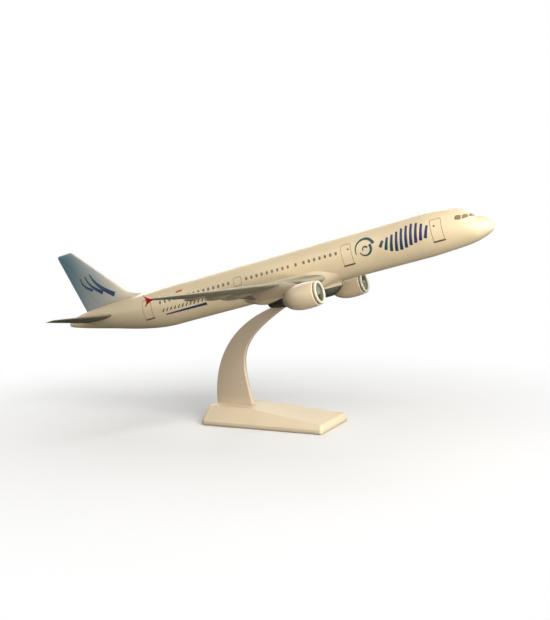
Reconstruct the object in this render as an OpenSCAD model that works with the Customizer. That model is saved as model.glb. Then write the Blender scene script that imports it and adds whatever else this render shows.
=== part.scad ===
// Desk model of a long twin-jet airliner, in flight on a curved stand arm.
// Millimetres. +X points to the nose, +Y to the port side, +Z up.
// The origin is the centre of the base's underside.
// The aircraft has its own frame: its origin lies on the fuselage axis above the stand's arm.

/* [Fuselage] */
// Length from the nose to the end of the tail cone
fus_len = 297; // [285:1:310]
// Width of the straight part
fus_w = 26.3; // [25.5:0.1:27]
// Height of the straight part
fus_h = 26.5; // [25.8:0.1:27]
// Length over which the nose swells
nose_len = 38; // [34:1:44]
// Length over which the tail draws in
tail_len = 92; // [84:1:100]
// Distance from the arm's socket forward to the nose
nose_x = 142.5; // [136:0.5:150]

/* [Belly] */
// Length of the fairing round the wing root
fairing_len = 78; // [72:1:84]
// Forward end of the fairing
fairing_x = 56; // [52:1:60]
// Width of the fairing
fairing_w = 27.5; // [27:0.1:28.5]
// Depth of the fairing below the fuselage axis
fairing_depth = 15.7; // [14.5:0.1:16.5]
// Length of the centre section's keel
keel_len = 51; // [46:0.5:56]
// Rear end of the keel, behind the arm's socket
keel_rear = 6; // [5.8:0.1:9]
// Width of the keel
keel_w = 19; // [16:0.5:21]
// Depth of the keel below the fuselage axis
keel_depth = 20.5; // [19.6:0.1:21.5]
// Depth of the keel where the arm meets it
seat_depth = 18.9; // [18.2:0.1:19.4]
// Slope of the keel over the arm, against the fuselage axis, in degrees
seat_tilt = 10.8; // [8:0.2:12]

/* [Wings] */
// Half of the wing span, fence included
half_span = 113.7; // [105:0.5:120]
// Leading edge at the fuselage side, forward of the socket
wing_le_x = 36.5; // [33:0.5:40]
// Height of the wing root's leading edge
wing_z = -8.7; // [-9.5:0.1:-8]
// Chord at the fuselage side, glove left out
root_chord = 46.7; // [44:0.1:49]
// Chord at the tip
tip_chord = 6.6; // [5.5:0.1:8]
// Leading-edge sweep in degrees
wing_sweep = 26.9; // [25:0.1:28.5]
// Dihedral in degrees
wing_dihedral = 5.5; // [4.5:0.1:6.5]
// Thickness of the root section as a share of its chord
root_thick = 0.14; // [0.12:0.005:0.15]
// Thickness of the tip section as a share of its chord
tip_thick = 0.09; // [0.08:0.005:0.12]
// Spanwise place of the trailing edge's crank
crank_y = 42.7; // [40:0.1:45]
// Reach of the glove ahead of the leading edge at the root
glove_reach = 2.9; // [2:0.1:6]
// Width of the glove along the span
glove_w = 9; // [6:0.5:12]
// Height of the wing-tip fence above the wing
fence_up = 3.6; // [2.5:0.1:5]
// Depth of the wing-tip fence below the wing
fence_down = 2.3; // [1.5:0.1:4]
// Thickness of the fence
fence_t = 0.9; // [0.6:0.1:1.2]
// Spanwise places of the flap-track fairings
track_y = [43.5, 60, 79];
// Length of the longest flap-track fairing
track_len = 21; // [16:0.5:24]
// Radius of a flap-track fairing
track_r = 1.5; // [1.2:0.1:1.8]

/* [Engines] */
// Spanwise place of the engines
engine_y = 38.3; // [36:0.1:40]
// Forward lip of the intake, ahead of the socket
engine_x = 45.9; // [43:0.1:48]
// Height of the engine axis
engine_z = -16.8; // [-18:0.1:-16]
// Length of the engine, lip to tail
engine_len = 23.8; // [22:0.1:26]
// Greatest radius of the cowl
cowl_r = 7.7; // [7.5:0.1:8.3]
// Outer radius of the intake ring
lip_r = 6.9; // [6.6:0.1:7.2]
// Radius of the intake's throat
throat_r = 5.2; // [4.8:0.1:5.5]
// Length of the intake ring
lip_len = 1.2; // [1:0.1:2]
// Width of the groove behind the intake ring
groove_w = 1.1; // [0.4:0.1:1.2]
// Depth of the fan's face behind the lip
fan_depth = 1.4; // [1.2:0.1:2]
// Thickness of the fan with its blades
fan_t = 1.8; // [1.6:0.1:2.4]
// Number of fan blades
blade_count = 18; // [12:1:22]
// Thickness of a pylon
pylon_t = 3; // [2.4:0.1:3.6]

/* [Tail] */
// Height of the fin's tip above the fuselage axis
fin_top = 52.4; // [48:0.1:55]
// Leading edge of the fin's tip, ahead of the tail cone's end
fin_tip_reach = 14.8; // [12:0.1:17]
// Chord of the fin's tip
fin_tip_chord = 12.2; // [10:0.1:14]
// Thickness of the fin as a share of its chord
fin_thick = 0.1; // [0.08:0.005:0.12]
// Half of the tailplane's span
stab_half_span = 40.9; // [38:0.1:45]
// Leading edge of the tailplane at the fuselage, ahead of the tail cone's end
stab_reach = 39.5; // [38:0.5:41]
// Height of the tailplane's root
stab_z = 3.9; // [3:0.1:4.5]
// Root chord of the tailplane
stab_root_chord = 25; // [23:0.1:27]
// Tip chord of the tailplane
stab_tip_chord = 7.4; // [6:0.1:9]
// Leading-edge sweep of the tailplane in degrees
stab_sweep = 33.5; // [30:0.5:36]
// Dihedral of the tailplane in degrees
stab_dihedral = 8.5; // [6:0.1:9]

/* [Stand] */
// Nose-up angle of the aircraft in degrees
pitch = 14.8; // [10:0.1:18]
// Place of the socket's mouth along the base
socket_x = 3.4; // [0:0.1:8]
// Height of the socket's mouth
socket_z = 73.1; // [66:0.1:80]
// Thickness of the arm
arm_t = 3.3; // [3:0.1:4.5]
// Width of the arm where it meets the keel
arm_top_w = 9.9; // [9.5:0.1:11]
// Width of the arm at its foot
arm_foot_w = 25.5; // [22:0.5:28]
// Rear end of the arm's foot, behind the base's centre
foot_rear = 39.8; // [36:0.1:39.8]
// Rounding of the arm's long edges
arm_edge = 0.9; // [0.3:0.1:1.1]
// Height of the arm's tongue in the keel
tongue_h = 8; // [6:0.5:9]
// Depth of the arm's tenon in the base
tenon_h = 6; // [4:0.5:7]
// Thickness of the tongue and the tenon
tongue_t = 2.2; // [1.8:0.1:2.6]
// Length of the base
base_len = 81.4; // [80:0.1:90]
// Width of the base
base_w = 44; // [40:0.5:48]
// Height of the base under the arm's foot
base_h = 10.9; // [9.5:0.1:12]
// Height of the base's front edge
front_h = 5.5; // [4.6:0.1:6.2]
// Height of the upright skirt
skirt_h = 2.9; // [2.4:0.1:3.4]
// Thickness of the bottom plate
plate_t = 1.5; // [1:0.1:2]

/* [Fits] */
// Gap on each side of a piece that lifts out
lift_gap = 0.15; // [0.1:0.05:0.25]
// Gap on each side of a glued tab or pin
glue_gap = 0.05; // [0.03:0.01:0.1]

/* [Hidden] */

$fn = 64;
// Points round half a fuselage section
half_points = 20;
// Stations along the nose and the tail
nose_steps = 14;
tail_steps = 12;
// Points along each side of a wing section
foil_points = 11;

// Profiles of the nose: root of the share of its length, share of the half size
NOSE_CROWN = [[0, -0.35], [0.2, -0.04], [0.35, 0.11], [0.49, 0.25], [0.55, 0.43], [0.63, 0.655],
    [0.73, 0.8], [0.82, 0.89], [0.91, 0.95], [1, 1]];
NOSE_KEEL = [[0, -0.35], [0.18, -0.54], [0.38, -0.71], [0.58, -0.865], [0.76, -0.935], [0.92, -0.98], [1, -1]];
NOSE_WIDTH = [[0, 0], [0.2, 0.3], [0.38, 0.5], [0.58, 0.73], [0.76, 0.87], [0.92, 0.97], [1, 1]];
// Profiles of the tail: share of its length, share of the half size
TAIL_CROWN = [[0, 1], [0.18, 0.975], [0.33, 0.94], [0.83, 0.811], [0.95, 0.665], [1, 0.5]];
TAIL_KEEL = [[0, -1], [0.19, -0.985], [0.39, -0.775], [0.63, -0.385], [0.83, -0.065], [0.97, 0.19], [1, 0.27]];
TAIL_WIDTH = [[0, 1], [0.19, 0.975], [0.39, 0.83], [0.63, 0.57], [0.83, 0.3], [0.97, 0.15], [1, 0.12]];

// Shoulders of the arm behind and ahead of its tongue
tongue_rear = 0.6;
tongue_front = 1.6;

// Fin: height of its root inside the fuselage, dorsal fillet, slope and place of its trailing edge
fin_root_z = 0.34 * fus_h;
fillet_rise = 2.7;
fillet_reach = 9;
fin_te_slope = 0.314;

// Places that go with the tail cone's end
tail_x = nose_x - fus_len;
fin_tip_x = tail_x + fin_tip_reach;
fin_te_x = tail_x + 0.165 * tail_len;
stab_le_x = tail_x + stab_reach;

// Height of the fuselage's crown under the fin's front
crown_z = 0.46 * fus_h;

// Glued joints: thickness of a tab, radius and reach of a pin
tab_t = 2;
pin_r = 0.046 * fus_w;
pin_reach = 0.13 * fus_w;
pin_room = 0.2;
// Places of the pins as shares of the fuselage, and their height
pin_shares = [0.237, 0.386, 0.675, 0.803, 0.924];
pin_z = 0.19 * fus_h;
// Outer end of the tailplane's tab
stab_tab_y = 9;

deck_z = base_h;
foot_front = foot_rear - arm_foot_w;
side_y = fus_w / 2;

function lerp(a, b, t) = a + (b - a) * t;
function ramp(t) = let(c = max(0, min(1, t))) c * c * (3 - 2 * c);
function signed_pow(v, p) = sign(v) * pow(abs(v), p);

// A smooth curve through knots of place and value
function knot(k, x, i = 0) = i >= len(k) - 2 || x < k[i + 1][0] ? i : knot(k, x, i + 1);
function slope(k, i) =
    let(a = max(0, i - 1), b = min(len(k) - 1, i + 1))
    abs(k[i][1]) == 1 ? 0 : (k[b][1] - k[a][1]) / (k[b][0] - k[a][0]);
function curve(k, x) =
    let(i = knot(k, x), h = k[i + 1][0] - k[i][0], t = (x - k[i][0]) / h)
    k[i][1] * (1 + 2 * t) * pow(1 - t, 2) + slope(k, i) * h * t * pow(1 - t, 2)
    + k[i + 1][1] * t * t * (3 - 2 * t) + slope(k, i + 1) * h * t * t * (t - 1);

// Fuselage profile, at a distance aft of the nose
function along(nose, tail, s) =
    s < nose_len ? curve(nose, sqrt(max(0, s) / nose_len))
    : s <= fus_len - tail_len ? curve(tail, 0)
    : curve(tail, (s - fus_len + tail_len) / tail_len);
function crown(s) = fus_h / 2 * along(NOSE_CROWN, TAIL_CROWN, s);
function belly(s) = fus_h / 2 * along(NOSE_KEEL, TAIL_KEEL, s);
function half_width(s) = fus_w / 2 * along(NOSE_WIDTH, TAIL_WIDTH, s);

// Solid through rings that turn counter-clockwise as seen from the last ring
module loft(rings) {
    n = len(rings[0]);
    last = len(rings) - 1;
    points = [for (r = rings) each r];
    sides = [for (i = [0 : last - 1], j = [0 : n - 1])
        let(a = i * n + j, b = i * n + (j + 1) % n)
        each [[a, a + n, b + n], [a, b + n, b]]];
    first_cap = [[for (j = [0 : n - 1]) j]];
    last_cap = [[for (j = [n - 1 : -1 : 0]) last * n + j]];
    polyhedron(points, concat(first_cap, sides, last_cap));
}

// Closed oval ring across the aircraft, squarer where its power is higher
function oval(x, z, w, up, down, power, n = 28) =
    [for (i = [0 : n - 1])
        let(a = 360 * i / n, c = signed_pow(cos(a), 2 / power), s = signed_pow(sin(a), 2 / power))
        [x, w * c, z + (s > 0 ? up : down) * s]];

// Wing section from trailing edge over the top to the nose and back, chord 1
function foil_half(x, t) =
    5 * t * (0.2969 * sqrt(x) - 0.126 * x - 0.3516 * x * x + 0.2843 * pow(x, 3) - 0.1015 * pow(x, 4));
function foil_camber(x, m) = 4 * m * x * (1 - x);
function foil(t, m = 0) =
    [for (i = [-foil_points : foil_points])
        let(x = (1 - cos(180 * i / foil_points)) / 2, y = foil_half(x, t) + 0.002)
        if (abs(i) < foil_points || i != 0)
        [x, foil_camber(x, m) + (i <= 0 ? y : -y)]];

// Places the aircraft on the arm
module in_flight() {
    translate([socket_x, 0, socket_z])
    rotate([0, -pitch, 0])
    translate([0, 0, seat_depth])
    children();
}

// Makes the starboard piece from the port one
module starboard() {
    mirror([0, 1, 0])
    children();
}

// Stations of the tail and the nose, as distances aft of the nose
tail_start = fus_len - tail_len;
function tail_stations(first) =
    [for (i = [tail_steps : -1 : first]) tail_start + tail_len * i / tail_steps];
nose_stations = [for (i = [nose_steps : -1 : 1]) nose_len * pow(i / nose_steps, 2)];
nose_cap = 0.02;

// Port half of the fuselage, through some of its stations
module fuselage_part(stations) {
    loft([for (s = stations)
        let(top = crown(s), low = belly(s))
        [for (j = [0 : half_points])
            let(a = -90 + 180 * j / half_points)
            [nose_x - s, half_width(s) * cos(a), (top + low) / 2 + (top - low) / 2 * sin(a)]]]);
}

module fuselage_half() {
    fuselage_part(concat(tail_stations(0), [lerp(tail_start, nose_len, 0.5)], nose_stations, [nose_cap]));
}

// The same half between the nose and the tail, where the wings sit
module straight_half() {
    fuselage_part([tail_start, nose_len]);
}

// Fairing round the wing root before it is cut to the fuselage
module fairing_solid() {
    center_z = -0.245 * fus_h;
    tuck = 0.15 * fus_w;
    end_up = 0.11 * fus_h;
    end_down = fus_h / 2 + center_z - 0.075 * fus_h;
    steps = 14;
    front_ramp = 0.34;
    rear_ramp = 0.22;
    loft([for (i = [0 : steps])
        let(t = i / steps, b = ramp(t / rear_ramp) * ramp((1 - t) / front_ramp))
        oval(fairing_x - fairing_len * (1 - t), center_z, lerp(side_y - tuck, fairing_w / 2, b),
            lerp(end_up, -center_z, b), lerp(end_down, fairing_depth + center_z, b),
            lerp(2.2, 2.7, b))]);
}

// Depth of the keel: a straight seat for the arm, then level
function keel_bottom(x) = min(keel_depth, seat_depth + x * tan(seat_tilt));

// Keel of the centre section before it is cut to the fairing
module keel_solid() {
    center_z = -0.8 * fairing_depth;
    keel_up = 4;
    front_ramp = 9;
    rear_ramp = 1.6;
    rear_taper = 13;
    steps = 14;
    loft([for (i = [0 : steps])
        let(t = pow(i / steps, 1.4), x = keel_len * t - keel_rear,
            b = sqrt(ramp((x + keel_rear) / rear_ramp)) * sqrt(ramp((keel_len - keel_rear - x) / front_ramp)),
            w = lerp(0.25, 1, pow(min(1, (x + keel_rear) / rear_taper), 0.8)))
        oval(x, center_z, w * lerp(0.72, 1, b) * keel_w / 2, keel_up,
            lerp(0.45, 1, b) * (keel_bottom(x) + center_z), 3.2)]);
}

// Blind slot in the belly for the arm's tongue, or the tongue itself
module tongue(gap) {
    root = 1.1;
    length = arm_top_w - tongue_rear - tongue_front;
    translate([tongue_rear - arm_top_w / 2 - gap, -tongue_t / 2 - gap, -seat_depth - root])
    cube([length + 2 * gap, tongue_t + 2 * gap, tongue_h + gap + root]);
}

// Root tabs that hold the wings, the tailplanes and the fin in the fuselage
module wing_tab(gap) {
    length = 0.47 * root_chord;
    inside = 7;
    outside = 5;
    translate([wing_le_x - 0.74 * root_chord - gap, side_y - inside - gap, wing_z - 0.3 * tab_t - gap])
    cube([length + 2 * gap, inside + outside + gap, tab_t + 2 * gap]);
}

module stab_tab(gap) {
    length = 0.4 * stab_root_chord;
    inner_y = 2;
    height = 0.7 * tab_t;
    translate([stab_le_x - 0.64 * stab_root_chord - gap, inner_y - gap, stab_z - 0.43 * height - gap])
    cube([length + 2 * gap, stab_tab_y - inner_y + gap, height + 2 * gap]);
}

module fin_tab(gap) {
    length = 12;
    rear = 9;
    width = 0.8 * tab_t;
    height = 6;
    drop = 2;
    translate([fin_te_x + rear - gap, -width / 2 - gap, fin_root_z - drop - gap])
    cube([length + 2 * gap, width + 2 * gap, height + gap]);
}

// Pins that line up the two halves
module pins(r, reach) {
    for (share = pin_shares)
        translate([tail_x + fus_len * share, 0, share > 0.9 ? -0.2 * pin_z : pin_z])
        rotate([90, 0, 0])
        cylinder(r = r, h = 2 * reach, center = true);
}

// Everything that is cut from the port half of the fuselage
module fuselage_half_cut() {
    difference() {
        fuselage_half();
        tongue(lift_gap);
        wing_tab(glue_gap);
        stab_tab(glue_gap);
        fin_tab(glue_gap);
        pins(pin_r + glue_gap, pin_reach + pin_room);
    }
}

module fuselage_left_half() {
    color("wheat")
    in_flight()
    fuselage_half_cut();
}

module fuselage_right_half() {
    color("wheat")
    in_flight()
    starboard() fuselage_half_cut();
}

module locating_pins() {
    color("gainsboro")
    in_flight()
    pins(pin_r, pin_reach);
}

module belly_fairing() {
    color("wheat")
    in_flight()
    difference() {
        fairing_solid();
        straight_half();
        starboard() straight_half();
        tongue(lift_gap);
        wing_tab(glue_gap);
        starboard() wing_tab(glue_gap);
    }
}

module wing_center_section() {
    color("darkseagreen")
    in_flight()
    difference() {
        keel_solid();
        fairing_solid();
        straight_half();
        starboard() straight_half();
        tongue(lift_gap);
    }
}

// Leading edge, trailing edge and height of the wing at a place along the span
function wing_lead(y) =
    wing_le_x - (y - side_y) * tan(wing_sweep)
    + glove_reach * pow(max(0, 1 - max(0, y - side_y) / glove_w), 2);
tip_y = half_span - fence_t;
tip_te_x = wing_lead(tip_y) - tip_chord;
function wing_trail(y) =
    let(root_te = wing_le_x - root_chord)
    y < crank_y ? root_te : lerp(root_te, tip_te_x, (y - crank_y) / (tip_y - crank_y));
function wing_height(y) = wing_z + (y - side_y) * tan(wing_dihedral);

// Section of the wing at a place along the span
function wing_ring(y) =
    let(share = (y - side_y) / (tip_y - side_y), chord = wing_lead(y) - wing_trail(y),
        t = lerp(root_thick, tip_thick, min(1, share * 3)), nose_up = lerp(2, -1, share))
    [for (p = foil(t, 0.018))
        [wing_lead(y) - chord * (p[0] * cos(nose_up) - p[1] * sin(nose_up)), y,
            wing_height(y) + chord * (p[1] * cos(nose_up) - p[0] * sin(nose_up))]];

// Places of the wing's sections along the span: inside the fuselage, glove, engine and outer wing
glove_steps = [for (i = [0 : 3]) side_y + glove_w * i / 3];
engine_steps = [lerp(side_y + glove_w, crank_y, 0.5), crank_y];
outer_steps = [for (i = [1 : 4]) lerp(crank_y, tip_y, i / 4)];
root_inset = 5;

module wing_part(places) {
    loft([for (y = places) wing_ring(y)]);
}

module wing() {
    difference() {
        wing_part(concat([side_y - root_inset], glove_steps, engine_steps, outer_steps));
        straight_half();
        fairing_solid();
    }
    intersection() {
        wing_tab(0);
        translate([wing_le_x - root_chord, 0, wing_z - 5])
        cube([root_chord, side_y + 2, 10]);
    }
}

module wing_left() {
    color("darkseagreen")
    in_flight()
    wing();
}

module wing_right() {
    color("darkseagreen")
    in_flight()
    starboard() wing();
}

// Arrow-shaped plate on the wing's tip, swept back above and below
module fence() {
    front = wing_lead(tip_y) - 0.36 * tip_chord;
    height = wing_height(tip_y);
    upper_run = 0.9 * tip_chord;
    lower_run = 0.79 * tip_chord;
    bow = 1;
    n = 5;
    translate([0, half_span, height])
    rotate([90, 0, 0])
    linear_extrude(fence_t)
    polygon(concat(
        [for (i = [0 : n]) let(t = i / n) [front - upper_run * t, 0.3 + (fence_up - 0.3) * pow(t, 1.7)]],
        [for (i = [1 : n])
            let(t = i / n)
            [front - lerp(upper_run, lower_run, t) + bow * sin(180 * t), lerp(fence_up, -fence_down, t)]],
        [for (i = [1 : n])
            let(t = 1 - i / n)
            [front - lower_run * t, -0.35 - (fence_down - 0.35) * pow(t, 1.5)]]));
}

module wingtip_fence_left() {
    color("firebrick")
    in_flight()
    fence();
}

module wingtip_fence_right() {
    color("firebrick")
    in_flight()
    starboard() fence();
}

// Canoe-shaped housings of the flap tracks, cut to the wing's underside
module flap_tracks() {
    steps = 8;
    difference() {
        for (i = [0 : len(track_y) - 1]) {
            y = track_y[i];
            length = track_len * (1 - 0.17 * i);
            r = track_r * (1 - 0.12 * i);
            nose_up = lerp(2, -1, (y - side_y) / (tip_y - side_y));
            drop = 0.6 * track_r + (wing_lead(y) - wing_trail(y)) * sin(nose_up);
            translate([wing_trail(y) - 0.2 * length, y, wing_height(y) - drop])
            loft([for (j = [0 : steps])
                let(t = j / steps, b = pow(sin(180 * min(0.97, max(0.03, pow(t, 0.8)))), 0.7))
                oval(length * t, 0.7 * (1 - t) * r - 0.3 * r * t, 0.85 * r * b, 1.1 * r * b, 1.5 * r * b, 2, 12)]);
        }
        wing_part(concat(engine_steps, outer_steps));
    }
}

module flap_track_fairings_left() {
    color("wheat")
    in_flight()
    flap_tracks();
}

module flap_track_fairings_right() {
    color("wheat")
    in_flight()
    starboard() flap_tracks();
}

// Places a piece that turns about +Z on the port engine's axis, lip at the origin, nose along +Z
module on_engine() {
    translate([engine_x, engine_y, engine_z])
    rotate([0, 90, 0])
    children();
}

// Egg-shaped cowl, closed at the rear, outline only
function cowl_radius(x) =
    let(swell = 0.38 * engine_len)
    x < swell ? cowl_r - (cowl_r - lip_r - 0.15) * pow(1 - x / swell, 1.7)
    : cowl_r * pow(max(0, 1 - pow((x - swell) / (engine_len - swell), 2.3)), 0.52);

module cowl_solid() {
    steps = 18;
    rotate_extrude()
    polygon(concat([[0, -lip_len - groove_w]],
        [for (i = [0 : steps])
            let(x = lerp(lip_len + groove_w, engine_len, sin(90 * i / steps)))
            [cowl_radius(x), -x]]));
}

// Depth and thickness of the ring's spigot in the cowl
spigot_len = 0.8;
spigot_t = 0.9;
spigot_end = lip_len + groove_w + spigot_len;

module engine_cowl() {
    difference() {
        on_engine() cowl_solid();
        on_engine() {
            translate([0, 0, -fan_depth - fan_t - glue_gap])
            cylinder(r = throat_r + glue_gap, h = 10);
            translate([0, 0, -spigot_end - glue_gap])
            cylinder(r = throat_r + spigot_t + glue_gap, h = 10);
        }
    }
}

// Rounded lip with a spigot that goes into the cowl
module intake_ring() {
    nose_r = (lip_r - throat_r) / 2;
    on_engine()
    rotate_extrude()
    polygon(concat(
        [for (i = [0 : 10])
            let(a = 180 * i / 10)
            [throat_r + nose_r * (1 - cos(a)), -nose_r + nose_r * sin(a)]],
        [[lip_r, -lip_len], [throat_r + spigot_t, -lip_len], [throat_r + spigot_t, -spigot_end],
            [throat_r, -spigot_end]]));
}

// Disc with a spinner and raised blades that lean round the axis
module fan() {
    hub_r = 1.7;
    blade_h = 0.9;
    blade_t = 0.32;
    lean = 35;
    rim = 0.3;
    on_engine() {
        translate([0, 0, -fan_depth - fan_t])
        cylinder(r = throat_r, h = fan_t - blade_h);
        translate([0, 0, -fan_depth - blade_h])
        rotate_extrude()
        polygon([[0, -0.2], [hub_r, -0.2], [hub_r, 0], [0.85 * hub_r, 0.4 * hub_r], [0.55 * hub_r, 0.85 * hub_r],
            [0, 1.15 * hub_r]]);
        for (i = [0 : blade_count - 1])
            rotate([0, 0, 360 * i / blade_count])
            translate([0.6 * hub_r, 0, -fan_depth - blade_h])
            rotate([lean, 0, 0])
            translate([0, -blade_t / 2, -0.4])
            cube([throat_r - rim - 0.6 * hub_r, blade_t, blade_h + 0.4]);
    }
}

module engine_cowl_left() {
    color("wheat")
    in_flight()
    engine_cowl();
}

module engine_cowl_right() {
    color("wheat")
    in_flight()
    starboard() engine_cowl();
}

module intake_ring_left() {
    color("beige")
    in_flight()
    intake_ring();
}

module intake_ring_right() {
    color("beige")
    in_flight()
    starboard() intake_ring();
}

module fan_left() {
    color("dimgray")
    in_flight()
    fan();
}

module fan_right() {
    color("dimgray")
    in_flight()
    starboard() fan();
}

// Swept strut from the cowl's crest to the wing's underside
module pylon() {
    sink = 3;
    low = engine_z + sink;
    lead = wing_lead(engine_y);
    high = wing_height(engine_y) + 0.2;
    front = engine_x - 0.37 * engine_len;
    rear = lead - 0.5 * root_chord;
    steps = 4;
    difference() {
        loft([for (j = [0 : steps])
            let(t = j / steps, x0 = lerp(front, lead + 0.5 * pylon_t, pow(t, 2.2)),
                x1 = lerp(rear + 0.3 * engine_len, rear, t))
            [for (p = foil(pylon_t / (x0 - x1)))
                [x0 - (x0 - x1) * p[0], engine_y - (x0 - x1) * p[1], lerp(low, high, t)]]]);
        on_engine() cowl_solid();
        wing_part(engine_steps);
    }
}

module pylon_left() {
    color("wheat")
    in_flight()
    pylon();
}

module pylon_right() {
    color("wheat")
    in_flight()
    starboard() pylon();
}

// Leading and trailing edge of the fin at a height
fin_lead_slope = 0.985;
function fin_lead(z) =
    fin_tip_x + (fin_top - z) * fin_lead_slope
    + fillet_reach * pow(max(0, 1 - (z - crown_z) / (2.2 * fillet_rise)), 2);
function fin_trail(z) = fin_te_x - (z - fin_root_z) * fin_te_slope + 0.5;

module fin() {
    tip_round = 0.8;
    heights = concat([fin_root_z], [for (i = [0 : 5]) crown_z + 2.2 * fillet_rise * i / 5],
        [lerp(crown_z + 2.2 * fillet_rise, fin_top, 0.5), fin_top - tip_round, fin_top]);
    color("lightsteelblue")
    in_flight() {
        difference() {
            loft([for (z = heights)
                let(trim = z == fin_top ? tip_round : 0, lead = fin_lead(z) - trim,
                    trail = max(fin_trail(z), fin_tip_x - fin_tip_chord) + trim * 0.5, chord = lead - trail,
                    t = fin_thick * min(1, 30 / chord) * (z == fin_top ? 0.5 : 1))
                [for (p = foil(t)) [lead - chord * p[0], -chord * p[1], z]]]);
            fuselage_part(tail_stations(0));
            starboard() fuselage_part(tail_stations(0));
        }
        fin_tab(0);
    }
}

// Tailplane with tapered sections and a rounded tip
module tailplane() {
    inner_y = 2.2;
    side = 0.61 * side_y;
    tip = stab_half_span;
    tip_round = 1.2;
    difference() {
        loft([for (y = [inner_y, side, lerp(side, tip, 0.3), lerp(side, tip, 0.65), tip - tip_round, tip])
            let(share = (y - side) / (tip - side), trim = y == tip ? tip_round : 0,
                lead = stab_le_x - (y - side) * tan(stab_sweep) - trim,
                chord = lerp(stab_root_chord, stab_tip_chord, share) - trim)
            [for (p = foil(y == tip ? 0.06 : 0.1))
                [lead - chord * p[0], y, stab_z + (y - side) * tan(stab_dihedral) + chord * p[1]]]]);
        fuselage_part(tail_stations(floor(tail_steps / 3)));
    }
    intersection() {
        stab_tab(0);
        translate([stab_le_x - stab_root_chord, 0, 0])
        cube([stab_root_chord, side, 2 * stab_z]);
    }
}

module tailplane_left() {
    color("darkseagreen")
    in_flight()
    tailplane();
}

module tailplane_right() {
    color("darkseagreen")
    in_flight()
    starboard() tailplane();
}

// Curve drawn by two end points and two pulls, each a length and an angle
function bezier(a, pull_a, b, pull_b, t) =
    let(p = a + pull_a[0] * [cos(pull_a[1]), sin(pull_a[1])], q = b + pull_b[0] * [cos(pull_b[1]), sin(pull_b[1])])
    pow(1 - t, 3) * a + 3 * pow(1 - t, 2) * t * p + 3 * (1 - t) * t * t * q + pow(t, 3) * b;

arm_steps = 20;
// Gap between the arm's top and the keel, and between its foot and the base
seat_gap = 0.1;
// Pulls of the arm's edges at the top and at the foot: length, angle against +X
rear_top_pull = [36.7, 203.5];
rear_foot_pull = [21.4, 95.4];
front_top_pull = [39.1, 214.8];
front_foot_pull = [33.3, 106.6];
top_angle = pitch - seat_tilt;
top_dir = [cos(top_angle), sin(top_angle)];
top_mid = [socket_x, socket_z] + seat_gap * [sin(top_angle), -cos(top_angle)];
function arm_rear(t) =
    bezier(top_mid - arm_top_w / 2 * top_dir, rear_top_pull, [-foot_rear, deck_z], rear_foot_pull, t);
function arm_front(t) =
    bezier(top_mid + arm_top_w / 2 * top_dir, front_top_pull, [-foot_front, deck_z], front_foot_pull, t);

// Cross-section of the arm between its rear and front edges, with rounded corners
function arm_ring(t) =
    let(rear = arm_rear(t), front = arm_front(t), width = norm(front - rear),
        dir = (front - rear) / width, mid = (rear + front) / 2)
    [for (k = [0 : 3], step = [0 : 2])
        let(sx = k == 0 || k == 3 ? 1 : -1, sy = k < 2 ? 1 : -1, a = 90 * k + 45 * step,
            u = sx * (width / 2 - arm_edge) + arm_edge * cos(a),
            v = sy * (arm_t / 2 - arm_edge) + arm_edge * sin(a))
        [mid[0] - u * dir[0], v, mid[1] - u * dir[1]]];

module stand_arm() {
    color("white") {
        loft([for (i = [0 : arm_steps]) arm_ring(i / arm_steps)]);
        in_flight() tongue(0);
        tenon(0);
    }
}

module tenon(gap) {
    shoulder = 2.5;
    length = arm_foot_w - 2 * shoulder;
    translate([shoulder - foot_rear - gap, -tongue_t / 2 - gap, deck_z - tenon_h - gap])
    cube([length + 2 * gap, tongue_t + 2 * gap, tenon_h + gap + 0.5]);
}

// Low wedge: upright skirt, a level deck under the arm and a deck that falls to the front
module base_body() {
    corner = 2;
    crest = 0.6;
    chamfer = 0.4;
    half_l = base_len / 2;
    half_w = base_w / 2;
    deck_mid_w = 0.62 * half_w;
    deck_rear_w = 0.54 * half_w;
    rear_lean = 0.2;
    front_lean = 0.6;
    hull() {
        for (x = [-half_l + corner, half_l - corner], y = [-half_w + corner, half_w - corner]) {
            translate([x, y, chamfer])
            cylinder(r = corner, h = skirt_h - chamfer, $fn = 32);
            translate([x, y, 0])
            cylinder(r = corner - chamfer, h = 1, $fn = 32);
        }
        for (y = [-1, 1]) {
            translate([half_l - crest - front_lean, y * (half_w - crest - 1.1), front_h - crest])
            sphere(r = crest, $fn = 24);
            translate([-foot_front + 2, y * deck_mid_w, deck_z - seat_gap - crest])
            sphere(r = crest, $fn = 24);
            translate([-half_l + crest + rear_lean, y * deck_rear_w, deck_z - seat_gap - crest])
            sphere(r = crest, $fn = 24);
        }
    }
}

module stand_base() {
    color("wheat")
    difference() {
        base_body();
        tenon(lift_gap);
        plate_outline(plate_t, 0);
    }
}

// Rounded plate let into the base's underside
module plate_outline(h, gap) {
    corner = 3;
    rim = 3.2;
    x = base_len / 2 - rim - corner;
    y = base_w / 2 - rim - corner;
    translate([0, 0, -0.01 * (gap == 0 ? 1 : 0)])
    union() {
        for (a = [-x, x], b = [-y, y])
            translate([a, b, 0])
            cylinder(r = corner - gap, h = h);
        translate([-x - corner + gap, -y, 0])
        cube([2 * (x + corner - gap), 2 * y, h]);
        translate([-x, -y - corner + gap, 0])
        cube([2 * x, 2 * (y + corner - gap), h]);
    }
}

module base_bottom_plate() {
    color("gray")
    plate_outline(plate_t - glue_gap, 0.1);
}

fuselage_left_half();
fuselage_right_half();
locating_pins();
belly_fairing();
wing_center_section();
wing_left();
wing_right();
wingtip_fence_left();
wingtip_fence_right();
flap_track_fairings_left();
flap_track_fairings_right();
pylon_left();
pylon_right();
engine_cowl_left();
engine_cowl_right();
intake_ring_left();
intake_ring_right();
fan_left();
fan_right();
fin();
tailplane_left();
tailplane_right();
stand_arm();
stand_base();
base_bottom_plate();
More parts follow.
